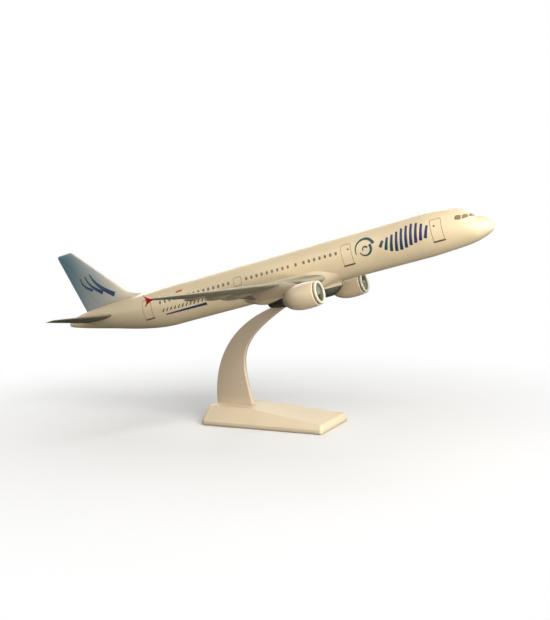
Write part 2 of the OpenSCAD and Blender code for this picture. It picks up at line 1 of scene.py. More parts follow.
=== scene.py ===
"""Desk model of a twin-jet airliner on its stand: smooth pieces, prints and finishes on the CAD frame."""
import math

import bmesh
import bpy
from mathutils import Matrix, Vector


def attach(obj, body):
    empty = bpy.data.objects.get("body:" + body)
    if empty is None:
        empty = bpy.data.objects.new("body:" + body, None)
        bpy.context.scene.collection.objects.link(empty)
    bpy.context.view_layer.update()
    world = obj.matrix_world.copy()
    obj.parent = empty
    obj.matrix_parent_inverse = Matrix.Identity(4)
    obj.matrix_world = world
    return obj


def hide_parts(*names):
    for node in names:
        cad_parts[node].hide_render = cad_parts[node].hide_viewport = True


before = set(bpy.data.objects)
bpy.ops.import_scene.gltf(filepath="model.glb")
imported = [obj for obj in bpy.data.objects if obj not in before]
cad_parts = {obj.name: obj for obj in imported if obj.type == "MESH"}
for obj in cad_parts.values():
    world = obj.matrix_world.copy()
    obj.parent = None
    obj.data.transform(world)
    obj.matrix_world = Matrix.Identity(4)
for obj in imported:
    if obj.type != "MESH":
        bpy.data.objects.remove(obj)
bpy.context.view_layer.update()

MM = 0.001

# Fuselage, in millimetres of the aircraft's own frame: +X nose, +Y port, +Z up
FUS_LEN = 297
FUS_W = 26.3
FUS_H = 26.5
NOSE_LEN = 38
TAIL_LEN = 92
NOSE_X = 142.5
SIDE_Y = FUS_W / 2

# Belly fairing and the centre section's keel
FAIRING_LEN = 78
FAIRING_X = 56
FAIRING_W = 27.5
FAIRING_DEPTH = 15.7
KEEL_LEN = 51
KEEL_REAR = 6
KEEL_W = 19
KEEL_DEPTH = 20.5
SEAT_DEPTH = 18.9
SEAT_TILT = 10.8

# Wings
HALF_SPAN = 113.7
WING_LE_X = 36.5
WING_Z = -8.7
ROOT_CHORD = 46.7
TIP_CHORD = 6.6
WING_SWEEP = 26.9
WING_DIHEDRAL = 5.5
ROOT_THICK = 0.14
TIP_THICK = 0.09
CRANK_Y = 42.7
GLOVE_REACH = 2.9
GLOVE_W = 9
FENCE_UP = 3.6
FENCE_DOWN = 2.3
FENCE_T = 0.9
TRACK_Y = [43.5, 60, 79]
TRACK_LEN = 21
TRACK_R = 1.5
TIP_Y = HALF_SPAN - FENCE_T

# Engines
ENGINE_Y = 38.3
ENGINE_X = 45.9
ENGINE_Z = -16.8
ENGINE_LEN = 23.8
COWL_R = 7.7
LIP_R = 6.9
THROAT_R = 5.2
LIP_LEN = 1.2
GROOVE_W = 1.1
SPIGOT_LEN = 0.8
SPIGOT_T = 0.9
FAN_DEPTH = 1.4
FAN_T = 1.8
BLADES = 18
PYLON_T = 3

# Tail
TAIL_X = NOSE_X - FUS_LEN
FIN_TOP = 52.4
FIN_TIP_X = TAIL_X + 14.8
FIN_TIP_CHORD = 12.2
FIN_THICK = 0.1
FIN_ROOT_Z = 0.34 * FUS_H
CROWN_Z = 0.46 * FUS_H
FIN_LEAD_SLOPE = 0.985
FILLET_RISE = 2.7
FILLET_REACH = 9
FIN_TE_SLOPE = 0.314
FIN_TE_X = TAIL_X + 0.165 * TAIL_LEN
FIN_TIP_ROUND = 1.4
STAB_HALF_SPAN = 40.9
STAB_LE_X = TAIL_X + 39.5
STAB_Z = 3.9
STAB_SIDE = 0.61 * SIDE_Y
STAB_ROOT_CHORD = 25
STAB_TIP_CHORD = 7.4
STAB_SWEEP = 33.5
STAB_DIHEDRAL = 8.5
STAB_THICK = 0.1
STAB_TIP_ROUND = 1.2

# Stand
PITCH = 14.8
SOCKET_X = 3.4
SOCKET_Z = 73.1
ARM_T = 3.3
ARM_TOP_W = 9.9
ARM_FOOT_W = 25.5
FOOT_REAR = 39.8
ARM_EDGE = 0.9
TONGUE_REAR = 0.6
TONGUE_FRONT = 1.6
TONGUE_ROOT = 1.1
TONGUE_H = 8
TONGUE_T = 2.2
TENON_H = 6
TENON_SHOULDER = 2.5
LIFT_GAP = 0.15
BASE_LEN = 81.4
BASE_W = 44
BASE_H = 10.9
FRONT_H = 5.5
SKIRT_H = 2.9
PLATE_T = 1.5
SEAT_GAP = 0.1
# Pulls of the arm's edges at the top and at the foot: length, angle against +X
REAR_PULLS = ((36.7, 203.5), (21.4, 95.4))
FRONT_PULLS = ((39.1, 214.8), (33.3, 106.6))

# Profiles of the nose: root of the share of its length, share of the half size
NOSE_CROWN = [(0, -0.35), (0.2, -0.04), (0.35, 0.11), (0.49, 0.25), (0.55, 0.43), (0.63, 0.655),
              (0.73, 0.8), (0.82, 0.89), (0.91, 0.95), (1, 1)]
NOSE_KEEL = [(0, -0.35), (0.18, -0.54), (0.38, -0.71), (0.58, -0.865), (0.76, -0.935), (0.92, -0.98),
             (1, -1)]
NOSE_WIDTH = [(0, 0), (0.2, 0.3), (0.38, 0.5), (0.58, 0.73), (0.76, 0.87), (0.92, 0.97), (1, 1)]
# Profiles of the tail: share of its length, share of the half size
TAIL_CROWN = [(0, 1), (0.18, 0.975), (0.33, 0.94), (0.83, 0.811), (0.95, 0.665), (1, 0.5)]
TAIL_KEEL = [(0, -1), (0.19, -0.985), (0.39, -0.775), (0.63, -0.385), (0.83, -0.065), (0.97, 0.19),
             (1, 0.27)]
TAIL_WIDTH = [(0, 1), (0.19, 0.975), (0.39, 0.83), (0.63, 0.57), (0.83, 0.3), (0.97, 0.15), (1, 0.12)]

# How far the smooth fuselage and its nose stay inside the faceted one, and where its nose starts
SKIN_IN = 0.05
NOSE_IN = 0.03
NOSE_START = 0.08

# Thickness of a print, and how far it sinks into the surface below
PRINT_LIFT = 0.035
PRINT_SINK = 0.05

SIDES = {"left": 1, "right": -1}


def lerp(a, b, t):
    return a + (b - a) * t


def unit(n):
    """Shares from 0 to 1 in n equal steps."""
    return [i / n for i in range(n + 1)]


def onward(a, b, n):
    """Places after a and up to b in n equal steps."""
    return [lerp(a, b, t) for t in unit(n)[1:]]


def ramp(t):
    c = max(0, min(1, t))
    return c * c * (3 - 2 * c)


def signed_pow(v, p):
    return math.copysign(abs(v) ** p, v)


def tan(degrees):
    return math.tan(math.radians(degrees))


def sin(degrees):
    return math.sin(math.radians(degrees))


def cos(degrees):
    return math.cos(math.radians(degrees))


def slope(k, i):
    """Slope of a profile at a knot, level where the profile reaches full size."""
    if abs(k[i][1]) == 1:
        return 0
    a, b = max(0, i - 1), min(len(k) - 1, i + 1)
    return (k[b][1] - k[a][1]) / (k[b][0] - k[a][0])


def curve(k, x):
    """Smooth curve through knots of place and value."""
    i = 0
    while i < len(k) - 2 and x >= k[i + 1][0]:
        i += 1
    h = k[i + 1][0] - k[i][0]
    t = (x - k[i][0]) / h
    start = k[i][1] * (1 + 2 * t) * (1 - t) ** 2 + slope(k, i) * h * t * (1 - t) ** 2
    end = k[i + 1][1] * t * t * (3 - 2 * t) + slope(k, i + 1) * h * t * t * (t - 1)
    return start + end


# Mesh building

IN_FLIGHT = (
    Matrix.Translation((SOCKET_X * MM, 0, SOCKET_Z * MM))
    @ Matrix.Rotation(math.radians(-PITCH), 4, "Y")
    @ Matrix.Translation((0, 0, SEAT_DEPTH * MM))
)


def placed(points, body):
    """Points in metres of the shared frame, from millimetres of the body's own frame."""
    if body == "aircraft":
        return [IN_FLIGHT @ (Vector(p) * MM) for p in points]
    return [Vector(p) * MM for p in points]


def add_object(name, data):
    """New object in the scene."""
    item = bpy.data.objects.new(name, data)
    bpy.context.scene.collection.objects.link(item)
    return item


def make_piece(name, points, faces, material, body="aircraft", crease=40):
    """Mesh object from points in millimetres, smooth but for edges sharper than crease."""
    mesh = bpy.data.meshes.new(name)
    mesh.from_pydata(placed(points, body), [], faces)
    bm = bmesh.new()
    bm.from_mesh(mesh)
    bmesh.ops.remove_doubles(bm, verts=bm.verts, dist=1e-6)
    bmesh.ops.recalc_face_normals(bm, faces=bm.faces)
    bm.to_mesh(mesh)
    bm.free()
    mesh.shade_smooth()
    mesh.set_sharp_from_angle(angle=math.radians(crease))
    mesh.materials.append(material)
    piece = add_object(name, mesh)
    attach(piece, body)
    return piece


def skin(name, points, faces, material, node, slot, body="aircraft", crease=40):
    """Piece that stands for one CAD node."""
    piece = make_piece(name, points, faces, material, body, crease)
    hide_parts(node)
    return piece


def carve(piece, points, faces, crease=40, body="aircraft"):
    """Cuts a closed shape, given in the body's own frame, out of a piece."""
    mesh = bpy.data.meshes.new("cutter")
    mesh.from_pydata(placed(points, body), [], faces)
    cutter = add_object("cutter", mesh)
    modifier = piece.modifiers.new("cut", "BOOLEAN")
    modifier.operation = "DIFFERENCE"
    modifier.solver = "EXACT"
    modifier.object = cutter
    bpy.context.view_layer.update()
    graph = bpy.context.evaluated_depsgraph_get()
    carved = bpy.data.meshes.new_from_object(piece.evaluated_get(graph))
    piece.modifiers.clear()
    whole = piece.data
    piece.data = carved
    carved.set_sharp_from_angle(angle=math.radians(crease))
    bpy.data.meshes.remove(whole)
    bpy.data.objects.remove(cutter)
    bpy.data.meshes.remove(mesh)


def join(parts):
    """One point and face list from several."""
    points, faces = [], []
    for part_points, part_faces in parts:
        start = len(points)
        points += part_points
        faces += [[i + start for i in face] for face in part_faces]
    return points, faces


def loft(rings):
    """Surface through rings of equally many points, with a cap on each end."""
    n, last = len(rings[0]), len(rings) - 1
    points = [p for ring in rings for p in ring]
    faces = []
    for i in range(last):
        for j in range(n):
            a, b = i * n + j, i * n + (j + 1) % n
            faces.append([a, a + n, b + n, b])
    faces.append(list(range(n)))
    faces.append([last * n + j for j in range(n - 1, -1, -1)])
    return points, faces


def lathe(profile, steps=96):
    """Body of revolution about the engine's axis from (radius, distance aft of the lip) pairs."""
    n = len(profile)
    points, faces = [], []
    for i in range(steps):
        a = 360 * i / steps
        points += [(ENGINE_X - x, ENGINE_Y + r * cos(a), ENGINE_Z + r * sin(a)) for r, x in profile]
        for j in range(n - 1):
            here, there = i * n + j, (i + 1) % steps * n + j
            faces.append([here, there, there + 1, here + 1])
    return points, faces


def rounded(x0, x1, y0, y1, r, steps):
    """Points round a rectangle whose corners have a radius."""
    points = []
    for k in range(4):
        x, y = (x1 - r if k in (0, 3) else x0 + r), (y1 - r if k < 2 else y0 + r)
        turns = [90 * (k + i / steps) for i in range(steps + 1)]
        points += [(x + r * cos(a), y + r * sin(a)) for a in turns]
    return points


def block(low, high, chamfer=0.0):
    """Box between two corners with its upright and end edges broken."""
    c, rings = chamfer, []
    for z, inset in ((low[2], c), (low[2] + c, 0), (high[2] - c, 0), (high[2], c)):
        x0, x1, y0, y1 = low[0] + inset, high[0] - inset, low[1] + inset, high[1] - inset
        rings.append([(x1, y0 + c, z), (x1, y1 - c, z), (x1 - c, y1, z), (x0 + c, y1, z),
                      (x0, y1 - c, z), (x0, y0 + c, z), (x0 + c, y0, z), (x1 - c, y0, z)])
    return loft(rings)


def flip(points, side):
    """The same points on the port (1) or the starboard (-1) side."""
    return [(x, y * side, z) for x, y, z in points]


def sided(side, name, build, material, node=None, slot=None, crease=40):
    """Piece of the aircraft on one side, which may stand for a CAD node."""
    points, faces = build()
    shape = flip(points, SIDES[side]), faces, material
    if node:
        return skin(name + "_" + side, *shape, node + "_" + side, slot, crease=crease)
    piece = make_piece(name + "_" + side, *shape, crease=crease)
    return piece


# Materials

# Cycles per metre of the patches of tone and of gloss, of the orange peel and of the wear on prints
TONE_SCALE, GLOSS_SCALE, PEEL_SCALE, WEAR_SCALE = 38, 90, 1400, 700

def linear(rgb):
    """Scene colour of an sRGB colour given in 0 to 255."""
    def channel(v):
        v /= 255
        return v / 12.92 if v <= 0.04045 else ((v + 0.055) / 1.055) ** 2.4
    return tuple(channel(v) for v in rgb) + (1,)


def new_material(name):
    material = bpy.data.materials.new(name)
    material.use_nodes = True
    tree = material.node_tree
    return material, tree, tree.nodes["Principled BSDF"]


def feed(tree, node, inputs):
    """Feeds a node's inputs, by name or number, from values or from the sockets of other nodes."""
    for key, value in inputs.items():
        if isinstance(value, bpy.types.NodeSocket):
            tree.links.new(value, node.inputs[key])
        else:
            node.inputs[key].default_value = value


def add_node(tree, kind, inputs, **settings):
    node = tree.nodes.new(kind)
    for name, value in settings.items():
        setattr(node, name, value)
    feed(tree, node, inputs)
    return node


def object_place(tree):
    return tree.nodes.new("ShaderNodeTexCoord").outputs["Object"]


def add_noise(tree, scale, detail=4):
    """Noise on the object's own coordinates, in cycles per metre."""
    inputs = {"Scale": scale, "Detail": detail, "Vector": object_place(tree)}
    return add_node(tree, "ShaderNodeTexNoise", inputs).outputs["Fac"]


def add_mix(tree, factor, low, high):
    """Colour between low and high by a factor socket."""
    return add_node(tree, "ShaderNodeMix", {0: factor, 6: low, 7: high}, data_type="RGBA").outputs[2]


def add_range(tree, value, from_low, from_high, to_low=0.0, to_high=1.0, kind="SMOOTHSTEP"):
    """Value mapped from one range to another."""
    ends = {"Value": value, "From Min": from_low, "From Max": from_high, "To Min": to_low, "To Max": to_high}
    return add_node(tree, "ShaderNodeMapRange", ends, interpolation_type=kind).outputs["Result"]


def add_math(tree, operation, *values):
    return add_node(tree, "ShaderNodeMath", dict(enumerate(values)), operation=operation).outputs[0]


def add_sum(tree, x, x_share, z, z_share):
    """Weighted sum of two places."""
    return add_math(tree, "MULTIPLY_ADD", z, z_share, add_math(tree, "MULTIPLY", x, x_share))


def mottle(tree, dark, light, scale=TONE_SCALE, detail=4):
    """Tone that drifts between two colours in soft patches."""
    return add_mix(tree, add_range(tree, add_noise(tree, scale, detail), 0.3, 0.7), dark, light)


def finish_plastic(tree, shader, colour, roughness, bump, coat, shine=0.5):
    """Colour, slightly uneven gloss and a faint orange peel, the same on every painted piece."""
    gloss = add_range(tree, add_noise(tree, GLOSS_SCALE, 3), 0.3, 0.7, roughness - 0.05, roughness + 0.06)
    peel = add_node(tree, "ShaderNodeBump", {
        "Strength": bump, "Distance": 0.0001, "Height": add_noise(tree, PEEL_SCALE, 2)})
    feed(tree, shader, {
        "Base Color": colour, "Roughness": gloss, "Normal": peel.outputs["Normal"],
        "Specular IOR Level": shine, "Coat Weight": coat, "Coat Roughness": 0.18})


def plastic(name, rgb, vary=0.05, roughness=0.38, bump=0.12, coat=0.25, shine=0.5):
    """Painted or moulded plastic with a mottled tone."""
    material, tree, shader = new_material(name)
    light = linear([min(255, v * (1 + vary)) for v in rgb])
    dark = linear([v * (1 - vary) for v in rgb])
    finish_plastic(tree, shader, mottle(tree, dark, light), roughness, bump, coat, shine)
    return material


def aircraft_axes(tree):
    """Place in the aircraft's own frame, in metres, as separate X and Z."""
    turned = add_node(tree, "ShaderNodeMapping", {
        "Vector": object_place(tree), "Rotation": (0, math.radians(PITCH), 0),
        "Location": IN_FLIGHT.inverted().translation})
    split = add_node(tree, "ShaderNodeSeparateXYZ", {0: turned.outputs[0]})
    return split.outputs["X"], split.outputs["Z"]


def fin_paint_with_painted_highlight():
    """Cream at the fillet, through pale grey to teal-blue at the rear, with a painted highlight along the
    leading edge.
    """
    material, tree, shader = new_material("fin_paint_with_painted_highlight")
    x, z = aircraft_axes(tree)
    aft = add_sum(tree, x, -1.0, z, 0.08)
    cream_end, grey_end, teal_start = 0.103, 0.129, 0.154
    rear = mottle(tree, linear((90, 127, 139)), linear((97, 134, 145)), 60)
    to_grey = add_range(tree, aft, cream_end, grey_end, kind="LINEAR")
    front = add_mix(tree, to_grey, linear((214, 202, 174)), linear((164, 169, 168)))
    body = add_mix(tree, add_range(tree, aft, grey_end, teal_start), front, rear)
    # Painted highlight: a pale band just behind the leading edge stands for the light the edge catches.
    edge_x = (FIN_TIP_X + FIN_TOP * FIN_LEAD_SLOPE) * MM
    along_edge = add_sum(tree, x, 1.0, z, FIN_LEAD_SLOPE)
    pale = add_range(tree, along_edge, edge_x - 0.0012, edge_x - 0.0006)
    finish_plastic(tree, shader, add_mix(tree, pale, body, linear((218, 208, 184))), 0.4, 0.03, 0.2)
    return material


def keel_paint_with_painted_shade():
    """Grey-green paint of the wings, darkened as painted shade under the belly, with the fairing's cream,
    also darkened as painted shade, carried down its sides towards the nose.
    """
    material, tree, shader = new_material("keel_paint_with_painted_shade")
    x, z = aircraft_axes(tree)
    border, soft = add_range(tree, x, 0.012, 0.03, -0.0124, -0.0155), 0.0001
    above = add_range(tree, add_sum(tree, z, 1.0, border, -1.0), -soft, soft)
    # Painted shade: this grey and the cream below are darker than the wing and fairing paints, for the shade
    # under the belly.
    grey = mottle(tree, linear((60, 60, 49)), linear((66, 66, 54)))
    finish_plastic(tree, shader, add_mix(tree, above, grey, linear((190, 174, 143))), 0.5, 0.12, 0, 0.25)
    return material


def print_paint(name, low_rgb, high_rgb, low, high, axis=0):
    """Print whose colour runs along the aircraft (axis 0) or up (axis 1) between two places."""
    material, tree, shader = new_material(name)
    share = add_range(tree, aircraft_axes(tree)[axis], low * MM, high * MM)
    wear = add_range(tree, add_noise(tree, WEAR_SCALE), 0.35, 0.8, 0, 0.12)
    fresh = add_mix(tree, share, linear(low_rgb), linear(high_rgb))
    worn = add_mix(tree, wear, fresh, linear((150, 150, 140)))
    finish_plastic(tree, shader, worn, 0.42, 0.08, 0.15)
    return material


CREAM = plastic("cream_lacquer", (230, 210, 172), vary=0.018, roughness=0.34)
# Painted shade: the fairing has the fuselage's cream paint, slightly darkened here for the shade under the
# belly.
CREAM_SHADED = plastic("cream_fairing_painted_shade", (214, 197, 163), vary=0.02, roughness=0.38)
WING = plastic("wing_grey_green", (146, 142, 119), vary=0.03, roughness=0.48, coat=0, shine=0.25)
# Painted shade: the tailplane has the wing's grey-green paint, darkened here for the shade it sits in.
STAB = plastic("tailplane_grey_green_painted_shade", (120, 114, 92), vary=0.03, roughness=0.48, coat=0, shine=0.25)
KEEL = keel_paint_with_painted_shade()
RED = plastic("fence_red_paint", (140, 14, 12), vary=0.06, roughness=0.4, coat=0.1, shine=0.25)
BEIGE = plastic("track_beige_paint", (166, 152, 126), vary=0.03, roughness=0.42)
COWL = plastic("cowl_cream_lacquer", (222, 201, 168), vary=0.02, roughness=0.34)
# Painted shade: the pylon has the cowl's cream paint, darkened here for the shade under the wing.
PYLON = plastic("pylon_cream_with_painted_shade", (172, 154, 128), vary=0.02, roughness=0.4)
RING = plastic("ring_pale_paint", (206, 204, 180), vary=0.02, roughness=0.3)
# Partly paint, partly painted shade: the groove band is darker than the lip for the groove's shade.
GROOVE_BAND = plastic("groove_grey_paint_and_painted_shade", (160, 160, 138), vary=0.05, roughness=0.5)
FAN = plastic("fan_grey_plastic", (106, 109, 92), vary=0.08, roughness=0.5)
FAN_HUB = plastic("fan_hub_plastic", (124, 124, 102), vary=0.06, roughness=0.42)
FIN = fin_paint_with_painted_highlight()
WHITE = plastic("arm_white_plastic", (196, 178, 153), vary=0.007, roughness=0.34, bump=0.05, coat=0.4)
IVORY = plastic("base_ivory_plastic", (220, 202, 171), vary=0.02, roughness=0.5, bump=0.16, coat=0,
                shine=0.2)
PLATE = plastic("plate_grey_plastic", (98, 96, 92), vary=0.06, roughness=0.6)
PIN = plastic("pin_plastic_raw", (206, 204, 196), vary=0.03, roughness=0.5)
GLAZING = plastic("window_print", (112, 92, 58), vary=0.14, roughness=0.26, bump=0.04, coat=0.4)
COCKPIT = plastic("cockpit_print", (126, 108, 76), vary=0.12, roughness=0.24, bump=0.04, coat=0.4)
SEAM = plastic("door_line_print", (150, 126, 94), vary=0.1, roughness=0.5, bump=0.05, coat=0)
SILL = plastic("door_sill_print", (84, 60, 38), vary=0.12, roughness=0.5, bump=0.05, coat=0)
PANEL_LINE = plastic("panel_line_print", (108, 108, 95), vary=0.08, roughness=0.6, bump=0.05, coat=0)
ORANGE = plastic("orange_mark_print", (190, 84, 44), vary=0.08, roughness=0.42, bump=0.05)
BARS = print_paint("teal_to_blue_print", (6, 66, 74), (24, 40, 92), 66, 105)
DASHES = plastic("charcoal_print", (54, 48, 42), vary=0.1, roughness=0.42, bump=0.05)
STRIPES = print_paint("blue_stripe_print", (22, 44, 84), (22, 52, 96), -72, -46)
FIN_BANDS = print_paint("fin_band_print", (22, 46, 98), (40, 92, 96), 17, 33, axis=1)


# Fuselage

def along(nose, tail, s):
    """Share of the half size at a distance aft of the nose."""
    if s < NOSE_LEN:
        return curve(nose, math.sqrt(max(0, s) / NOSE_LEN))
    if s <= FUS_LEN - TAIL_LEN:
        return tail[0][1]
    return curve(tail, (s - FUS_LEN + TAIL_LEN) / TAIL_LEN)


def crown(s):
    return (FUS_H / 2 - SKIN_IN) * along(NOSE_CROWN, TAIL_CROWN, s)


def belly(s):
    return (FUS_H / 2 - SKIN_IN) * along(NOSE_KEEL, TAIL_KEEL, s)


def half_width(s):
    return FUS_W / 2 * along(NOSE_WIDTH, TAIL_WIDTH, s)


def hull_at(s, angle):
    """Point of the port surface at a station and an angle above the widest line."""
    top, low = crown(s), belly(s)
    height = (top + low) / 2 + (top - low) / 2 * sin(angle)
    return Vector((NOSE_X - NOSE_IN - s, half_width(s) * cos(angle), height))


def hull_point(s, z, lift=0.0):
    """Point of the port surface at a station and a height, moved outwards by lift."""
    step, turn = 0.05, 0.2
    middle, half = (crown(s) + belly(s)) / 2, (crown(s) - belly(s)) / 2
    angle = math.degrees(math.asin(max(-1, min(1, (z - middle) / half))))
    fore_aft = hull_at(s - step, angle) - hull_at(s + step, angle)
    around = hull_at(s, angle + turn) - hull_at(s, angle - turn)
    normal = around.cross(fore_aft).normalized()
    return hull_at(s, angle) + (normal if normal.y >= 0 else -normal) * lift


def fuselage_half():
    """Closed half with its flat side on the middle plane."""
    nose_steps, cabin_steps, tail_steps, half_points = 56, 12, 44, 56
    tail_start = FUS_LEN - TAIL_LEN
    stations = [lerp(NOSE_START, NOSE_LEN, t ** 2) for t in unit(nose_steps)]
    stations += onward(NOSE_LEN, tail_start, cabin_steps) + onward(tail_start, FUS_LEN, tail_steps)
    turns = [lerp(-90, 90, t) for t in unit(half_points)]
    return loft([[tuple(hull_at(s, a)) for a in turns] for s in stations])


def tongue(gap, chamfer=0.0):
    """The arm's tongue in the aircraft's frame, or with a gap the slot for it."""
    rear = TONGUE_REAR - ARM_TOP_W / 2
    front = rear + ARM_TOP_W - TONGUE_REAR - TONGUE_FRONT
    return block((rear - gap, -TONGUE_T / 2 - gap, -SEAT_DEPTH - TONGUE_ROOT),
                 (front + gap, TONGUE_T / 2 + gap, TONGUE_H - SEAT_DEPTH + gap), chamfer)


SLOT = tongue(LIFT_GAP)
for side, sign in SIDES.items():
    points, faces = fuselage_half()
    half = skin("hull_" + side, flip(points, sign), faces, CREAM, "fuselage_" + side + "_half", "hull_cream")
    carve(half, *SLOT)


# Belly fairing and keel

def oval(x, z, w, up, down, power, n):
    """Closed ring across the aircraft, squarer where its power is higher."""
    ring = []
    for i in range(n):
        c, s = signed_pow(cos(360 * i / n), 2 / power), signed_pow(sin(360 * i / n), 2 / power)
        ring.append((x, w * c, z + (up if s > 0 else down) * s))
    return ring


def fairing():
    """Fairing round the wing root that draws in at both ends."""
    center_z, tuck, steps, around = -0.245 * FUS_H, 0.15 * FUS_W, 64, 96
    end_up, end_down = 0.11 * FUS_H, FUS_H / 2 + center_z - 0.075 * FUS_H
    front_ramp, rear_ramp = 0.34, 0.22
    end_power, power = 2.2, 2.7
    rings = []
    for t in unit(steps):
        b = ramp(t / rear_ramp) * ramp((1 - t) / front_ramp)
        rings.append(oval(
            FAIRING_X - FAIRING_LEN * (1 - t), center_z, lerp(SIDE_Y - tuck, FAIRING_W / 2, b),
            lerp(end_up, -center_z, b), lerp(end_down, FAIRING_DEPTH + center_z, b),
            lerp(end_power, power, b), around))
    return loft(rings)


def keel():
    """Keel with a straight seat for the arm, a level bottom ahead of it and a bow."""
    center_z, keel_up, steps, around, power = -0.8 * FAIRING_DEPTH, 4, 72, 96, 3.2
    front_ramp, rear_ramp, front_taper, rear_taper = 9, 1.6, 17, 13
    front_w, rear_w, end_w, end_depth = 0.1, 0.25, 0.72, 0.45
    rings = []
    for t in unit(steps):
        from_rear = KEEL_LEN * t ** 1.4
        x, to_front = from_rear - KEEL_REAR, KEEL_LEN - from_rear
        bottom = min(KEEL_DEPTH, SEAT_DEPTH + x * tan(SEAT_TILT))
        b = math.sqrt(ramp((x + KEEL_REAR) / rear_ramp) * ramp(max(0, to_front) / front_ramp))
        bow = lerp(front_w, 1, min(1, max(0, to_front) / front_taper) ** 0.7)
        w = min(bow, lerp(rear_w, 1, min(1, max(0, x + KEEL_REAR) / rear_taper) ** 0.8))
        rings.append(oval(x, center_z, w * lerp(end_w, 1, b) * KEEL_W / 2, keel_up,
                          lerp(end_depth, 1, b) * (bottom + center_z), power, around))
    return loft(rings)


carve(skin("belly_fairing_skin", *fairing(), CREAM_SHADED, "belly_fairing", "hull_cream"), *SLOT)
carve(skin("keel_skin", *keel(), KEEL, "wing_center_section", "wing_grey"), *SLOT)


# Wings

FOIL_POINTS = 40
# Half thickness that a section keeps at its ends, as a share of its chord
FOIL_EDGE = 0.002
WING_CAMBER = 0.018


def foil_half(x, t):
    return 5 * t * (0.2969 * math.sqrt(x) - 0.126 * x - 0.3516 * x ** 2 + 0.2843 * x ** 3 - 0.1015 * x ** 4)


def foil_point(x, t, m, upper):
    """Point of a section of chord 1 at a share of the chord, on its upper or lower side."""
    y = foil_half(x, t) + FOIL_EDGE
    return x, 4 * m * x * (1 - x) + (y if upper else -y)


def foil(t, m=0.0):
    """Wing section from trailing edge over the top to the nose and back."""
    ring = []
    for i in range(-FOIL_POINTS, FOIL_POINTS + 1):
        x = (1 - math.cos(math.pi * i / FOIL_POINTS)) / 2
        ring.append(foil_point(x, t, m, i <= 0))
    return ring


def wing_lead(y):
    glove = GLOVE_REACH * max(0, 1 - max(0, y - SIDE_Y) / GLOVE_W) ** 2
    return WING_LE_X - (y - SIDE_Y) * tan(WING_SWEEP) + glove


def wing_trail(y):
    root_te = WING_LE_X - ROOT_CHORD
    if y < CRANK_Y:
        return root_te
    return lerp(root_te, wing_lead(TIP_Y) - TIP_CHORD, (y - CRANK_Y) / (TIP_Y - CRANK_Y))


def wing_height(y):
    return WING_Z + (y - SIDE_Y) * tan(WING_DIHEDRAL)


def wing_twist(y):
    return lerp(2, -1, (y - SIDE_Y) / (TIP_Y - SIDE_Y))


def wing_thick(y):
    return lerp(ROOT_THICK, TIP_THICK, min(1, (y - SIDE_Y) / (TIP_Y - SIDE_Y) * 3))


def on_wing(y, p):
    """Place of a section's point on the port wing."""
    chord, twist = wing_lead(y) - wing_trail(y), wing_twist(y)
    return (wing_lead(y) - chord * (p[0] * cos(twist) - p[1] * sin(twist)), y,
            wing_height(y) + chord * (p[1] * cos(twist) - p[0] * sin(twist)))


def wing():
    """Wing from inside the fuselage through its glove and its crank to its tip."""
    glove_steps, inner_steps, outer_steps, buried = 14, 8, 24, 3
    glove_end = SIDE_Y + GLOVE_W
    places = [SIDE_Y - buried, SIDE_Y] + onward(SIDE_Y, glove_end, glove_steps)
    places += onward(glove_end, CRANK_Y, inner_steps) + onward(CRANK_Y, TIP_Y, outer_steps)
    return loft([[on_wing(y, p) for p in foil(wing_thick(y), WING_CAMBER)] for y in places])


def fence():
    """Arrow-shaped plate with rounded edges."""
    front, height = wing_lead(TIP_Y) - 0.36 * TIP_CHORD, wing_height(TIP_Y)
    upper_run, lower_run, bow = 0.9 * TIP_CHORD, 0.79 * TIP_CHORD, 1
    upper_nose, lower_nose = 0.3, 0.35
    shares = unit(12)
    outline = [(front - upper_run * t, upper_nose + (FENCE_UP - upper_nose) * t ** 1.7) for t in shares]
    outline += [(front - lerp(upper_run, lower_run, t) + bow * sin(180 * t), lerp(FENCE_UP, -FENCE_DOWN, t))
                for t in shares[1:]]
    outline += [(front - lower_run * t, -lower_nose - (FENCE_DOWN - lower_nose) * t ** 1.5)
                for t in reversed(shares[:-1])]
    middle = Vector((front - 0.45 * upper_run, 0.1))
    edge, edge_steps = 0.22, 8
    flat = FENCE_T / 2 - edge
    rings = []
    for t in unit(edge_steps):
        a = 180 * t - 90
        inset = edge * (1 - cos(a))
        y = HALF_SPAN - FENCE_T / 2 + flat * ((a > 0) - (a < 0)) + edge * sin(a)
        ring = []
        for x, z in outline:
            away = Vector((x, z)) - middle
            point = middle + away * max(0, away.length - inset) / max(away.length, 0.01)
            ring.append((point.x, y, point.y + height))
        rings.append(ring)
    return loft(rings)


def track(y, length, r):
    """Canoe-shaped housing of a flap track."""
    steps, around = 36, 32
    start_x = wing_trail(y) - 0.2 * length
    start_z = wing_height(y) - 0.6 * TRACK_R - (wing_lead(y) - wing_trail(y)) * sin(wing_twist(y))
    rings = []
    for t in unit(steps):
        b = sin(180 * min(0.97, max(0.03, t ** 0.8))) ** 0.7
        ring = oval(start_x + length * t, start_z + 0.7 * (1 - t) * r - 0.3 * r * t,
                    0.85 * r * b, 1.1 * r * b, 1.25 * r * b, 2, around)
        rings.append([(px, py + y, pz) for px, py, pz in ring])
    return loft(rings)


def tracks():
    """Housings that get shorter and thinner towards the tip."""
    shorter, thinner = 0.17, 0.12
    return join([track(y, TRACK_LEN * (1 - shorter * i), TRACK_R * (1 - thinner * i))
                 for i, y in enumerate(TRACK_Y)])


for side in SIDES:
    sided(side, "wing_skin", wing, WING, "wing", "wing_grey", crease=50)
    sided(side, "tip_fence", fence, RED, "wingtip_fence", "fence_red", crease=60)
    sided(side, "flap_tracks", tracks, BEIGE, "flap_track_fairings", "track_beige")


# Engines

GROOVE = LIP_LEN + GROOVE_W
SPIGOT_R = THROAT_R + SPIGOT_T
